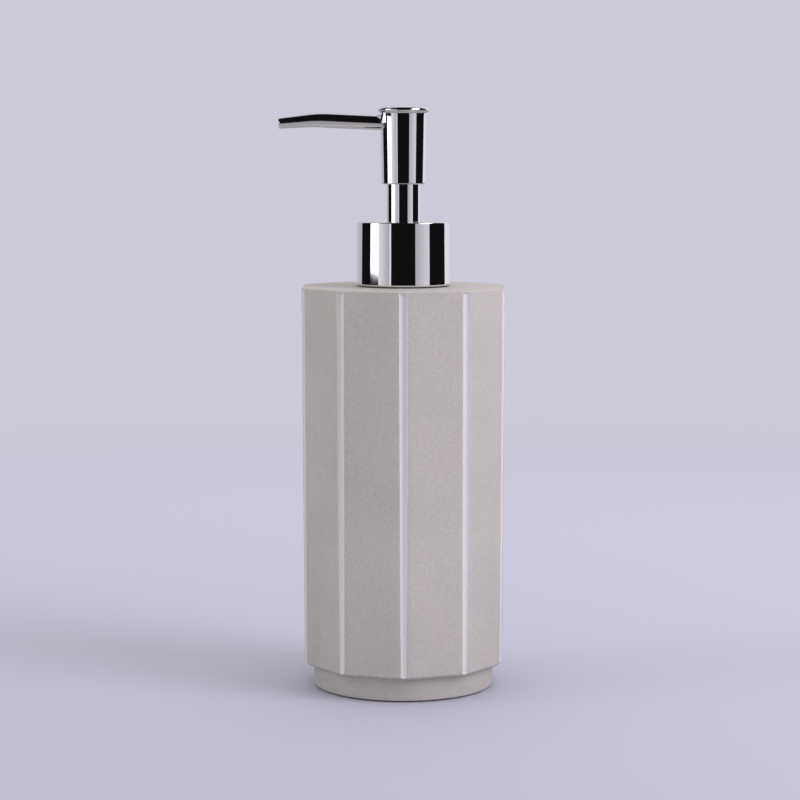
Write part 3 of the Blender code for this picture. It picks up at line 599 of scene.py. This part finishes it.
def makeConcrete():
    look = concreteLook
    stone = Finish("concrete", 0.82)
    low, top, lowReach, topReach = flutePlace()
    x, y, z = stone.along()

    # distance from the nearest flute's axis: the angle is folded into one of the corners
    share = 2 * math.pi / bottleShape["sides"]
    angle = x.maths("ARCTAN2", y, x) + (math.pi / 2 + 20.5 * share)
    off = angle.maths("MODULO", angle, share) - share / 2
    reach = (x * x + y * y) ** 0.5
    axisReach = lowReach + (topReach - lowReach) * ((z - low) / (top - low))
    sideways = reach * off.maths("SINE", off)
    inwards = reach * off.maths("COSINE", off) - axisReach
    fromFlute = (sideways * sideways + inwards * inwards) ** 0.5
    ragged = fromFlute + look["fluteRagged"] * (stone.noise(look["raggedSize"], 3, 0.6) - 0.5)
    edges = [bottleShape["fluteRadius"] + edge for edge in look["fluteEdge"]]
    onFlute = stone.between(ragged, *edges) * (z > bottleShape["bodyLow"] - near) * (z < top + near)

    clouds = stone.noise(look["cloudSize"], 4, 0.55)
    patches = stone.noise(look["patchSize"], 2, 0.5, stone.stretch((1, 1, 0.5)))
    mottle = stone.noise(look["mottleSize"], 5, 0.6)
    sand = stone.noise(look["sandSize"], 3, 0.7)
    grain = stone.noise(look["grainSize"], 2, 0.6)
    colour = stone.blend(stone.between(clouds, 0.35, 0.65), look["cool"], look["warm"])
    colour = stone.blend(0.5, look["base"], colour)
    # partly painted highlight: the flutes get a paler colour, which also stands in for the bright lines
    # the light draws along the flute walls
    colour = stone.blend(onFlute, colour, look["flute"])

    # each noise is about 0.5 on average, and the tone about 1
    tone = 1 - look["patches"] / 2 + look["patches"] * stone.between(patches, 0.3, 0.7)
    tone = tone * (1 - look["mottle"] / 2 + look["mottle"] * mottle)
    tone = tone * (1 - (look["sand"] + look["grain"]) / 2 + look["sand"] * sand + look["grain"] * grain)
    # painted shade: the colour darkens towards the floor, standing in for the light that falls off there
    tone = tone * stone.between(z, -0.01, look["lowTo"], look["paintedLowShade"], 1.0)

    # pale and dark sand specks, and a few pinholes
    specks, speckRed, speckGreen = stone.cells(look["speckSize"])
    pits, pitRed = stone.cells(look["pitSize"])[:2]
    pale = (specks < 0.22) * (speckRed > 0.86)
    dark = (specks < 0.2) * (speckGreen > 0.9)
    pit = stone.between(pits, 0.07, 0.03) * (pitRed > 0.93)
    tone = tone * (1 + look["paleSpeck"] * pale) * (1 - look["darkSpeck"] * dark)
    tone = tone * (1 - look["pit"] * pit)
    tone = tone + look["fluteClean"] * onFlute * (1 - tone)
    stone.use(Base_Color=stone.shaded(colour, tone), Specular_IOR_Level=0.5)
    stone.use(Roughness=look["roughness"] + 0.16 * mottle - look["fluteSmooth"] * onFlute)

    fine = stone.bump(sand + 0.7 * mottle - 1.5 * pit, look["grainDepth"], 0.55)
    stone.use(Normal=stone.bump(stone.noise(look["waveSize"], 3, 0.5), look["waveDepth"], 0.35, fine))
    return stone


metalLooks = {
    "chrome": {"darker": (0.87, 0.865, 0.875), "lighter": (0.90, 0.89, 0.905), "roughness": 0.035,
               "smudge": 0.03, "waveDepth": 0.00002},
    "spring_steel": {"darker": (0.50, 0.50, 0.51), "lighter": (0.62, 0.62, 0.63), "roughness": 0.2,
                     "drawn": 0.18, "waveDepth": 0.00001},
}

plasticLooks = {
    "grey_plastic": {"colour": (0.30, 0.30, 0.31), "roughness": 0.45, "clearness": 0.0},
    "natural_plastic": {"colour": (0.80, 0.80, 0.78), "roughness": 0.35, "clearness": 0.35},
    "white_plastic": {"colour": (0.82, 0.82, 0.80), "roughness": 0.32, "clearness": 0.0},
}

rubberLooks = {
    "seal_rubber": {"colour": (0.05, 0.05, 0.053), "roughness": 0.7},
    "pad_rubber": {"colour": (0.03, 0.03, 0.032), "roughness": 0.85},
}


def makeChrome():
    look = metalLooks["chrome"]
    chrome = Finish("polished_chrome", 0.05, 1.0)
    haze = chrome.noise(55, 4, 0.6)
    smudge = chrome.noise(240, 3, 0.6, chrome.stretch((1, 1, 0.35)))
    chrome.use(Base_Color=chrome.blend(chrome.between(haze, 0.3, 0.7), look["darker"], look["lighter"]))
    chrome.use(Roughness=look["roughness"] + look["smudge"] * chrome.between(smudge, 0.45, 0.75))
    chrome.use(Normal=chrome.bump(chrome.noise(85, 2, 0.4), look["waveDepth"], 0.5))
    return chrome


def makeSteel():
    look = metalLooks["spring_steel"]
    steel = Finish("spring_steel", 0.28, 1.0)
    drawn = steel.noise(700, 3, 0.6, steel.stretch((1, 1, 3)))
    steel.use(Base_Color=steel.blend(drawn, look["darker"], look["lighter"]))
    steel.use(Roughness=look["roughness"] + look["drawn"] * drawn)
    steel.use(Normal=steel.bump(drawn, look["waveDepth"], 0.4))
    return steel


def makePlastic(name, look):
    plastic = Finish(name, look["roughness"])
    flow = plastic.noise(30, 3, 0.5, plastic.stretch((1, 1, 0.3)))
    grainy = plastic.noise(900, 3, 0.6)
    darker = tuple(0.93 * part for part in look["colour"])
    plastic.use(Base_Color=plastic.blend(plastic.between(flow, 0.35, 0.65), darker, look["colour"]))
    plastic.use(Roughness=look["roughness"] - 0.05 + 0.1 * grainy)
    plastic.use(Normal=plastic.bump(grainy, 0.00003, 0.3))
    plastic.use(Transmission_Weight=look["clearness"], IOR=1.49)
    return plastic


def makeRubber(name, look):
    rubber = Finish(name, look["roughness"])
    dust = rubber.noise(160, 4, 0.6)
    grain = rubber.noise(1600, 2, 0.5)
    dusty = tuple(part + 0.03 for part in look["colour"])
    rubber.use(Base_Color=rubber.blend(rubber.between(dust, 0.5, 0.8), look["colour"], dusty))
    rubber.use(Roughness=look["roughness"] - 0.06 + 0.12 * dust)
    rubber.use(Normal=rubber.bump(grain, 0.00004, 0.4))
    return rubber


def makeFinishes():
    finishes["concrete"] = makeConcrete()
    finishes["chrome"] = makeChrome()
    finishes["spring_steel"] = makeSteel()
    for name, look in plasticLooks.items():
        finishes[name] = makePlastic(name, look)
    for name, look in rubberLooks.items():
        finishes[name] = makeRubber(name, look)
    for part in frame["record"]["subparts"]:
        mesh = frame["nodes"][part["node"]].data
        mesh.materials.clear()
        mesh.materials.append(finishes[part["material_slot"]].material)


# ---- bottle

def makeBlock():
    shape = bottleShape
    lowCorner, topCorner = cornerRadii()
    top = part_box("bottle_body")[1].z
    height = top - shape["bodyLow"]
    middle = shape["bodyLow"] + height / 2
    block = addCylinder("concrete_bottle", shape["sides"], topCorner, height, middle)
    beginEdit(block)
    pick(block, "verts", lambda vert: vert.co.z < middle)
    factor = lowCorner / topCorner
    bpy.ops.transform.resize(value=(factor, factor, 1), center_override=(0, 0, shape["bodyLow"]))

    def heights(edge):
        return [vert.co.z for vert in edge.verts]

    bevelEdges(block, lambda edge: max(heights(edge)) - min(heights(edge)) > height / 2,
               shape["cornerRound"], 8)
    bevelEdges(block, lambda edge: min(heights(edge)) > middle, shape["rimRound"], 3)
    bevelEdges(block, lambda edge: max(heights(edge)) < shape["bodyLow"] + near, shape["lowRound"], 6)
    endEdit()
    return block


def makeFluteTool(index):
    # a round-nosed bar that leans with the corner, and runs out past the bottom
    shape = bottleShape
    low, top, lowReach, topReach = flutePlace()
    turn = 2 * math.pi * index / shape["sides"]
    out = Vector((math.sin(turn), math.cos(turn), 0))
    middle = (low + top) / 2
    tool = addCylinder("flute_tool", shape["fluteSteps"], shape["fluteRadius"], top - low, middle)
    beginEdit(tool)
    pick(tool, "verts", lambda vert: vert.co.z > middle)
    bpy.ops.transform.translate(value=out * topReach)
    bpy.ops.mesh.select_all(action="INVERT")
    bpy.ops.transform.translate(value=out * lowReach)
    bevelEdges(tool, lambda edge: min(vert.co.z for vert in edge.verts) > middle, shape["fluteEnd"], 4)
    endEdit()
    return tool


def makeFoot(low):
    shape = bottleShape
    fillet = curveBetween(shape["footTop"] + shape["footFillet"],
                          shape["bodyLow"] - shape["footFillet"] * shape["filletTuck"],
                          shape["footFillet"], 180, 105, 6)
    edge = curveBetween(shape["footLow"] - shape["footEdge"], low + shape["footEdge"],
                        shape["footEdge"], -90, 0, 4)
    inTheBody = (shape["footTop"] - past, shape["bodyLow"] + 1.5 * past)
    return turnOutline("foot", edge + fillet + [inTheBody], 128, closed=False)


def makeChamber(floor, top):
    shape = bottleShape
    inside = cornerRadii()[0] * math.cos(math.pi / shape["sides"]) - shape["wall"]
    bend = shape["chamberRound"]
    roof = top - shape["roofThickness"]
    lower = curveBetween(inside - bend, floor + bend, bend, -90, 0, 6)
    upper = curveBetween(inside - bend, roof - shape["shoulderDrop"] - bend / 2, bend, 0, 60, 5)
    neck = [(shape["neckHole"], roof), (shape["neckHole"], top + past)]
    return turnOutline("chamber", lower + upper + neck, 96, closed=False)


def makeBottle():
    shape = bottleShape
    low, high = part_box("bottle_body")
    block = makeBlock()
    for index in range(shape["sides"]):
        cutWith(block, makeFluteTool(index))
    softenEdges(block, shape["lipRound"], 2, 40)
    cutWith(block, makeFoot(low.z), "UNION")

    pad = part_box("base_pad")[1]
    padTop = pad.z + gap
    recess = [(pad.x + gap, low.z - past), (pad.x + gap, padTop)]
    cutWith(block, turnOutline("recess", recess, 96, closed=False))
    cutWith(block, makeChamber(padTop + shape["floorThickness"], high.z))
    cleanUp(block)
    smoothOver(block, 30)
    standFor(block, "bottle", "concrete", "bottle_body")


# ---- collar, sleeve and head

collarShape = {
    "curl": 0.0009,
    "curlHeight": 0.0014,
    "topEdge": 0.00045,
    "wall": 0.0009,
    "sideWall": 0.00075,
    "flare": 0.0002,
    "sleeveGap": 0.00035,
    "mouthWidth": 0.0004,    # the slope round the hole for the sleeve
    "mouthDrop": 0.0003,
}

sleeveShape = {
    "wall": 0.0005,
    "lowEdge": 0.0001,
    "topEdge": 0.0002,
}

headShape = {
    "wall": 0.0009,
    "topWall": 0.0019,
    "belly": 0.00025,
    "draft": 0.0004,
    "rimFlare": 0.0010,
    "rimDrop": 0.00135,      # from the top to where the rim is widest
    "neckFlare": 0.00014,    # how much the neck widens before the rim
    "neckFlareHeight": 0.0024,
    "rimFillet": 0.00085,
    "rimUnder": 0.00035,
    "lowEdge": 0.0004,
    "dome": 0.0003,
    "mouthWidth": 0.0002,    # the bore widens at its lower end
    "mouthHeight": 0.0003,
    "holeGap": 0.00004,      # round the spout
    "holeFrom": 0.001,       # the hole's cutter starts inside the bore and ends outside the rim
    "holeTo": 0.003,
}

spoutShape = {
    "rootRadius": 0.00265,
    "tipRadius": 0.00197,
    "wall": 0.00045,
    "rootInset": 0.0032,     # where the tube starts, measured from the pump's axis
    "bendStart": 0.0273,
    "bendRadius": 0.046,
    "reach": 0.0438,
    "riseAngle": 2.6,
    "dropAngle": 5.1,
    "belowTop": 0.006,
    "tipRound": 0.00015,
    "linerWall": 0.00045,
    "ringSides": 64,
    "bendSteps": 16,
}


def makeCollar():
    shape = collarShape
    low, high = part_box("collar_shell")
    lowRadius = high.x
    topRadius = lowRadius - shape["flare"]
    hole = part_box("guide_sleeve")[1].x + shape["sleeveGap"]
    tall = shape["curlHeight"]
    curl = curveBetween(lowRadius - shape["curl"], low.z + tall / 2, shape["curl"], -90, 0, 8, tall / 2)
    edge = curveBetween(topRadius - shape["topEdge"], high.z - shape["topEdge"], shape["topEdge"],
                        0, 90, 6)
    inner = topRadius - shape["sideWall"]
    under = high.z - shape["wall"]
    lip = lowRadius - 2 * shape["curl"]
    outline = [(lip, low.z + tall / 3)] + curl + edge + [
        (hole + shape["mouthWidth"], high.z), (hole, high.z - shape["mouthDrop"]), (hole, under),
        (inner, under), (inner, low.z + tall), (lip, low.z + tall * 0.6)]
    turnPiece("chrome_collar", "collar_shell", "closure", "chrome", outline, 192)


def makeSleeve():
    low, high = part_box("guide_sleeve")
    radius = high.x
    bore = radius - sleeveShape["wall"]
    lowEdge, topEdge = sleeveShape["lowEdge"], sleeveShape["topEdge"]
    outline = [(bore, low.z), (radius - lowEdge, low.z), (radius, low.z + lowEdge),
               (radius, high.z - topEdge), (radius - topEdge / 2, high.z - topEdge / 4),
               (radius - topEdge, high.z), (bore, high.z)]
    turnPiece("chrome_sleeve", "guide_sleeve", "pump_frame", "chrome", outline, 128)


def headOutline(low, high):
    shape = headShape
    rimRadius = high.x
    neckRadius = rimRadius - shape["rimFlare"]
    lowRadius = neckRadius - shape["draft"]
    edge = shape["lowEdge"]
    widest = high.z - shape["rimDrop"]
    outline = curveBetween(lowRadius - edge, low.z + edge, edge, -90, 0, 6)
    outline.append((lowRadius + shape["belly"], (low.z + high.z) / 2))
    fillet = shape["rimFillet"]
    filletLow = widest - shape["rimUnder"] - fillet
    for share in (0, 0.25, 0.5, 0.75):
        outline.append((neckRadius + shape["neckFlare"] * share * share,
                        filletLow - shape["neckFlareHeight"] * (1 - share)))
    outline += curveBetween(neckRadius + shape["neckFlare"] + fillet, filletLow, fillet, 180, 115, 10)
    lip = shape["rimDrop"] - shape["dome"]
    under = shape["rimUnder"]
    outline += curveBetween(rimRadius - under, widest, under, -70, -10, 5)
    outline += curveBetween(rimRadius - lip, widest, lip, 0, 90, 14)
    flat = rimRadius - lip
    for share in (0.8, 0.55, 0.3, 0.06):
        outline.append((flat * share, high.z - shape["dome"] * share * share))
    return outline


def spoutPlace(run):
    # the point and the slope of the spout's centre line, at a distance along it from the pump's axis
    shape = spoutShape
    rise, drop = math.radians(shape["riseAngle"]), math.radians(shape["dropAngle"])
    bendLength = shape["bendRadius"] * (rise + drop)
    share = min(max((run - shape["bendStart"]) / bendLength, 0), 1)
    slope = rise - share * (rise + drop)
    out = min(run, shape["bendStart"]) * math.cos(rise)
    up = min(run, shape["bendStart"]) * math.sin(rise)
    out += shape["bendRadius"] * (math.sin(rise) - math.sin(slope))
    up += shape["bendRadius"] * (math.cos(slope) - math.cos(rise))
    after = max(run - shape["bendStart"] - bendLength, 0)
    out += after * math.cos(slope)
    up += after * math.sin(slope)
    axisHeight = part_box("head_shell")[1].z - shape["belowTop"]
    return Vector((-out, 0, axisHeight + up)), slope


def spoutRadius(run):
    shape = spoutShape
    taper = max(run - shape["bendStart"], 0) / (shape["reach"] - shape["bendStart"])
    return shape["rootRadius"] + (shape["tipRadius"] - shape["rootRadius"]) * taper


def drawTube(name, runs, sides):
    # a ring is drawn out along the spout's line, turned and scaled at each stop; a stop is (run, radius)
    run, radius = runs[0]
    place, slope = spoutPlace(run)
    tube = addRing(name, sides, radius, place, (0, slope - math.pi / 2, 0))
    beginEdit(tube, "EDGE")
    bpy.ops.mesh.select_all(action="SELECT")
    for run, nextRadius in runs[1:]:
        nextPlace, nextSlope = spoutPlace(run)
        bpy.ops.mesh.extrude_region_move(TRANSFORM_OT_translate={"value": nextPlace - place})
        factor = nextRadius / radius
        bpy.ops.transform.resize(value=(factor, factor, factor), center_override=nextPlace)
        if abs(nextSlope - slope) > 1e-6:
            bpy.ops.transform.rotate(value=slope - nextSlope, orient_axis="Y", center_override=nextPlace)
        place, slope, radius = nextPlace, nextSlope, nextRadius
    endEdit()
    return tube


def spoutStops(shrink):
    shape = spoutShape
    start, rest = shape["bendStart"], shape["reach"] - shape["bendStart"]
    runs = [start + rest * (step + 1) / shape["bendSteps"] for step in range(shape["bendSteps"])]
    return [(run, spoutRadius(run) - shrink) for run in [shape["rootInset"], start] + runs]


def makeTube(name, node, slotName, outside, inside, sides):
    tube = drawTube(name, outside + inside[::-1] + [outside[0]], sides)
    cleanUp(tube)
    smoothOver(tube, 40)
    standFor(tube, "head", slotName, node)


def makeSpout():
    shape = spoutShape
    tip, rounding = shape["reach"], shape["tipRound"]
    radius = spoutRadius(tip)
    end = [(tip - 0.8 * rounding, radius), (tip - 0.2 * rounding, radius - 0.4 * rounding),
           (tip, radius - rounding)]
    makeTube("chrome_spout", "spout_tube", "chrome", spoutStops(0)[:-1] + end, spoutStops(shape["wall"]),
             shape["ringSides"])
    inset = shape["wall"] + gap
    makeTube("spout_inner_tube", "spout_liner", "natural_plastic", spoutStops(inset),
             spoutStops(inset + shape["linerWall"]), shape["ringSides"] // 2)


def makeHead():
    shape = headShape
    low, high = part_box("head_shell")
    head = turnOutline("chrome_head", headOutline(low, high), 192, closed=False)

    bore = high.x - shape["rimFlare"] - shape["draft"] - shape["wall"]
    mouth = bore + shape["mouthWidth"]
    inside = [(mouth, low.z - past), (mouth, low.z), (bore, low.z + shape["mouthHeight"]),
              (bore, high.z - shape["topWall"])]
    cutWith(head, turnOutline("bore", inside, 96, closed=False))

    # the hole for the spout
    radius = spoutShape["rootRadius"] + shape["holeGap"]
    stops = [(bore - shape["holeFrom"], radius), (high.x + shape["holeTo"], radius)]
    hole = drawTube("spout_hole", stops, spoutShape["ringSides"])
    closeRings(hole)
    cutWith(head, hole)
    smoothOver(head, 38)
    standFor(head, "head", "chrome", "head_shell")


# ---- inside the bottle and the pump

insideShape = {
    "padCentre": 0.002,      # the plain middle and the plain margin of the pad
    "padMargin": 0.002,
    "padGrooves": 5,
    "padGrooveDepth": 0.0003,
    "padGrooveWidth": 0.0012,
    "padGrooveSlope": 0.0002,
    "neckBore": 0.0109,
    "neckWall": 0.0017,
    "insertWall": 0.0026,
    "neckRise": 0.0108,
    "neckFlange": 0.0013,
    "threadStand": 0.0011,
    "threadHalfWidth": 0.0009,
    "threadPitch": 0.00423,
    "threadTurns": 1.5,
    "threadDrop": 0.0016,    # from the neck's top to the thread
    "threadSink": 0.9,       # how far each end of the thread is drawn into the wall
    "coilSteps": 60,
    "capWall": 0.0013,
    "capTop": 0.0014,
    "gasketWidth": 0.0022,
}

pumpShape = {
    "stroke": 0.0125,
    "springWire": 0.0004,
    "springTurns": 6,
    "flangeThickness": 0.0015,
    "barrel": 0.0096,
    "barrelWall": 0.0013,
    "barrelRise": 0.0045,
    "barrelDepth": 0.0068,
    "bore": 0.006,
    "wall": 0.0011,
    "boreLength": 0.0462,
    "seatDepth": 0.002,
    "seatRadius": 0.003,
    "seatHole": 0.0015,
    "seatHoleLength": 0.002,
    "socketLength": 0.0125,
    "socketWall": 0.00105,
    "tubeWall": 0.00085,
    "tubeEndSlope": 0.5,
    "plugWall": 0.0012,
    "plugFlange": 0.0012,
    "plugWeb": 0.0024,
    "spigotRise": 0.0027,
    "stem": 0.0036,
    "stemBore": 0.0017,
    "stemNeck": 0.0029,
    "stemFootHeight": 0.0015,
    "stemFootCentre": 0.001,
    "stemNeckHeight": 0.0063,
    "port": 0.0008,
    "portHeight": 0.0037,
    "sealLip": 0.0011,
    "sealLipWidth": 0.0008,
    "sealWaist": 0.0018,
}


def makePad():
    # a rubber disc with ring grooves on its underside
    shape = insideShape
    low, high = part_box("base_pad")
    radius, centre = high.x, shape["padCentre"]
    outline = [(centre, high.z), (radius - soft, high.z), (radius, high.z - soft),
               (radius, low.z + soft), (radius - soft, low.z)]
    spacing = (radius - centre - shape["padMargin"]) / (shape["padGrooves"] + 1)
    slope = shape["padGrooveSlope"]
    depth = low.z + shape["padGrooveDepth"]
    for ring in range(shape["padGrooves"]):
        outer = radius - shape["padMargin"] - spacing * ring
        inner = outer - shape["padGrooveWidth"]
        outline += [(outer, low.z), (outer - slope, depth), (inner + slope, depth), (inner, low.z)]
    outline.append((centre, low.z))
    turnPiece("grip_pad", "base_pad", "bottle", "pad_rubber", outline, 128, closed=False)


def makeCoil(radius, wire, start, rise, turns, stretch=1.0):
    # a round wire that climbs around the axis, wider or narrower by stretch than it is high
    coil = addRing("coil", 12, wire, (radius, 0, start), (math.pi / 2, 0, 0))
    beginEdit(coil)
    bpy.ops.mesh.select_all(action="SELECT")
    bpy.ops.transform.resize(value=(stretch, 1, 1), center_override=(radius, 0, start))
    endEdit()
    steps = round(insideShape["coilSteps"] * turns)
    addModifier(coil, "SCREW", axis="Z", angle=2 * math.pi * turns, screw_offset=rise, steps=steps,
                render_steps=steps, use_merge_vertices=False)
    return coil


def makeThread(radius, top):
    shape = insideShape
    rise = shape["threadPitch"] * shape["threadTurns"]
    wire = shape["threadHalfWidth"]
    start = top - shape["threadDrop"] - wire - rise
    thread = makeCoil(radius, wire, start, rise, shape["threadTurns"], shape["threadStand"] / wire)
    closeRings(thread, shape["threadSink"])
    return thread


def makeSpring():
    # a coil with a closed turn at each end; on the real pump it shortens as the head is pressed
    shape = pumpShape
    low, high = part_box("return_spring")
    wire = shape["springWire"]
    closed = 2 * wire + gap
    climb = high.z - low.z - 2 * wire - 2 * closed
    height = low.z + wire
    parts = []
    for rise, turns in ((closed, 1), (climb, shape["springTurns"]), (closed, 1)):
        parts.append(makeCoil(high.x - wire, wire, height, rise, turns))
        height += rise
    spring = joinAll(parts)
    spring.name = "coil_spring"
    closeRings(spring)
    smoothOver(spring)
    standFor(spring, "pump_frame", "spring_steel", "return_spring")
    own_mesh(spring)


def makeNeck():
    shape = insideShape
    low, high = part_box("neck_insert")
    bore = shape["neckBore"]
    neck = bore + shape["neckWall"]
    insert = bore + shape["insertWall"]
    onBody = high.z - shape["neckRise"]
    flangeTop = onBody + shape["neckFlange"]
    outline = softOutline((bore, low.z, soft), (insert, low.z, soft), (insert, onBody),
                          (high.x, onBody, soft), (high.x, flangeTop, soft), (neck, flangeTop, soft),
                          (neck, high.z, 2 * soft), (bore, high.z, soft))
    tube = turnOutline("threaded_neck", outline, 128)
    cutWith(tube, makeThread(neck, high.z), "UNION")
    cleanUp(tube)
    smoothOver(tube, 40)
    standFor(tube, "bottle", "grey_plastic", "neck_insert")


def makeCap():
    low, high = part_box("closure_ring")
    bore = high.x - insideShape["capWall"]
    hole = pumpShape["barrel"] + gap
    under = high.z - insideShape["capTop"]
    outline = softOutline((bore, low.z, soft), (high.x, low.z, soft), (high.x, high.z, 2 * soft),
                          (hole, high.z, soft), (hole, under, soft), (bore, under, soft))
    turnPiece("screw_cap", "closure_ring", "closure", "white_plastic", outline, 128)


def makeWasher(name, node, inner, around):
    low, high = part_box(node)
    outline = softOutline((inner, low.z, soft), (high.x, low.z, soft), (high.x, high.z, soft),
                          (inner, high.z, soft))
    turnPiece(name, node, "pump_frame", "seal_rubber", outline, around)


def makeCylinder():
    shape = pumpShape
    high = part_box("pump_housing")[1]
    bore, wall, barrel = shape["bore"], shape["wall"], shape["barrel"]
    barrelBore = barrel - shape["barrelWall"]
    outside = bore + wall
    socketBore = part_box("dip_tube")[1].x + gap
    socket = socketBore + shape["socketWall"]
    flangeTop = high.z - shape["barrelRise"]
    flangeLow = flangeTop - shape["flangeThickness"]
    boreTop = flangeTop - shape["barrelDepth"]
    boreFloor = boreTop - shape["boreLength"]
    seatLow = boreFloor - shape["seatDepth"]
    socketTop = seatLow - shape["seatHoleLength"]
    socketLow = socketTop - shape["socketLength"]
    outline = softOutline(
        (barrelBore, high.z, soft), (barrelBore, boreTop, soft), (bore, boreTop, soft),
        (bore, boreFloor, soft), (shape["seatRadius"], boreFloor), (shape["seatHole"], seatLow),
        (shape["seatHole"], socketTop), (socketBore, socketTop), (socketBore, socketLow),
        (socket, socketLow, soft), (socket, socketTop - wall, 2 * soft),
        (outside, seatLow - wall, 3 * soft), (outside, boreTop - wall, 2 * soft),
        (barrel, boreTop, 2 * soft), (barrel, flangeLow, soft), (high.x, flangeLow, soft),
        (high.x, flangeTop, soft), (barrel, flangeTop, soft), (barrel, high.z, soft))
    turnPiece("pump_cylinder", "pump_housing", "pump_frame", "natural_plastic", outline, 96)


def makeDipTube():
    low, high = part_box("dip_tube")
    radius = high.x
    bore = radius - pumpShape["tubeWall"]
    start = low.z - past / 2
    outline = [(bore, start), (radius, start), (radius, high.z), (bore, high.z)]
    pickup = turnOutline("pickup_tube", outline, 64)
    beginEdit(pickup)
    bpy.ops.mesh.select_all(action="SELECT")
    bpy.ops.mesh.bisect(plane_co=(-radius, 0, low.z), plane_no=(-pumpShape["tubeEndSlope"], 0, 1),
                        clear_inner=True)
    bpy.ops.mesh.select_all(action="DESELECT")
    bpy.ops.mesh.select_mode(type="EDGE")
    pick(pickup, "edges", lambda edge: edge.is_boundary)
    bpy.ops.mesh.bridge_edge_loops()
    endEdit()
    cleanUp(pickup)
    smoothOver(pickup)
    standFor(pickup, "pump_frame", "natural_plastic", "dip_tube")


def makePlug():
    shape = pumpShape
    low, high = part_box("chaplet")
    guide = shape["stem"] + gap
    body = shape["barrel"] - shape["barrelWall"] - gap
    cup = body - shape["plugWall"]
    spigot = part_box("guide_sleeve")[1].x - sleeveShape["wall"] - gap
    flangeTop = high.z - shape["spigotRise"]
    flangeLow = flangeTop - shape["plugFlange"]
    webLow = flangeTop - shape["plugWeb"]
    outline = softOutline(
        (guide, webLow, soft), (cup, webLow), (cup, low.z, soft), (body, low.z, soft),
        (body, flangeLow), (high.x, flangeLow, soft), (high.x, flangeTop, soft),
        (spigot, flangeTop, soft), (spigot, high.z, soft), (guide, high.z, soft))
    turnPiece("cylinder_plug", "chaplet", "pump_frame", "white_plastic", outline, 96)


def makeStem():
    shape = pumpShape
    low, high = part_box("piston_stem")
    bore, radius, neck = shape["stemBore"], shape["stem"], shape["stemNeck"]
    footTop = low.z + shape["stemFootHeight"]
    shoulder = footTop + shape["stemNeckHeight"]
    outline = softOutline(
        (bore, footTop), (bore, high.z, soft), (radius, high.z, 2 * soft), (radius, shoulder, soft),
        (neck, shoulder), (neck, footTop), (high.x, footTop, soft), (high.x, low.z, soft),
        (shape["stemFootCentre"], low.z))
    stem = turnOutline("hollow_stem", outline, 64, closed=False)
    port = addCylinder("port", 32, shape["port"], 3 * radius, low.z + shape["portHeight"],
                       (math.pi / 2, 0, 0))
    cutWith(stem, port)
    cleanUp(stem)
    smoothOver(stem)
    standFor(stem, "plunger", "white_plastic", "piston_stem")


def makePiston():
    shape = pumpShape
    low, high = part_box("piston_seal")
    inner, outer = shape["stemNeck"] + gap, high.x
    lip, waist, width = shape["sealLip"], shape["sealWaist"], shape["sealLipWidth"]
    groove = outer - width
    outline = softOutline(
        (inner, low.z), (groove - width, low.z), (groove, low.z + lip), (outer, low.z),
        (outer, low.z + lip), (groove, low.z + waist, soft), (groove, high.z - waist, soft),
        (outer, high.z - lip), (outer, high.z), (groove, high.z - lip), (groove - width, high.z),
        (inner, high.z))
    turnPiece("sliding_piston", "piston_seal", "piston", "seal_rubber", outline, 96)


# ---- everything in order

def main():
    print("camera and studio")
    makeCamera()
    makeStudio()

    print("finishes")
    makeFinishes()

    print("bottle")
    makeBottle()
    makePad()
    print("neck and pump")
    makeNeck()
    makeCap()
    makeWasher("neck_washer", "neck_gasket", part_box("neck_gasket")[1].x - insideShape["gasketWidth"], 96)
    makeCylinder()
    makeDipTube()
    makePlug()
    makeWasher("stem_seal_ring", "stem_wiper", pumpShape["stem"] + gap, 64)
    makeStem()
    makePiston()
    makeSpring()
    print("collar and sleeve")
    makeCollar()
    makeSleeve()
    print("head and spout")
    makeHead()
    makeSpout()


main()
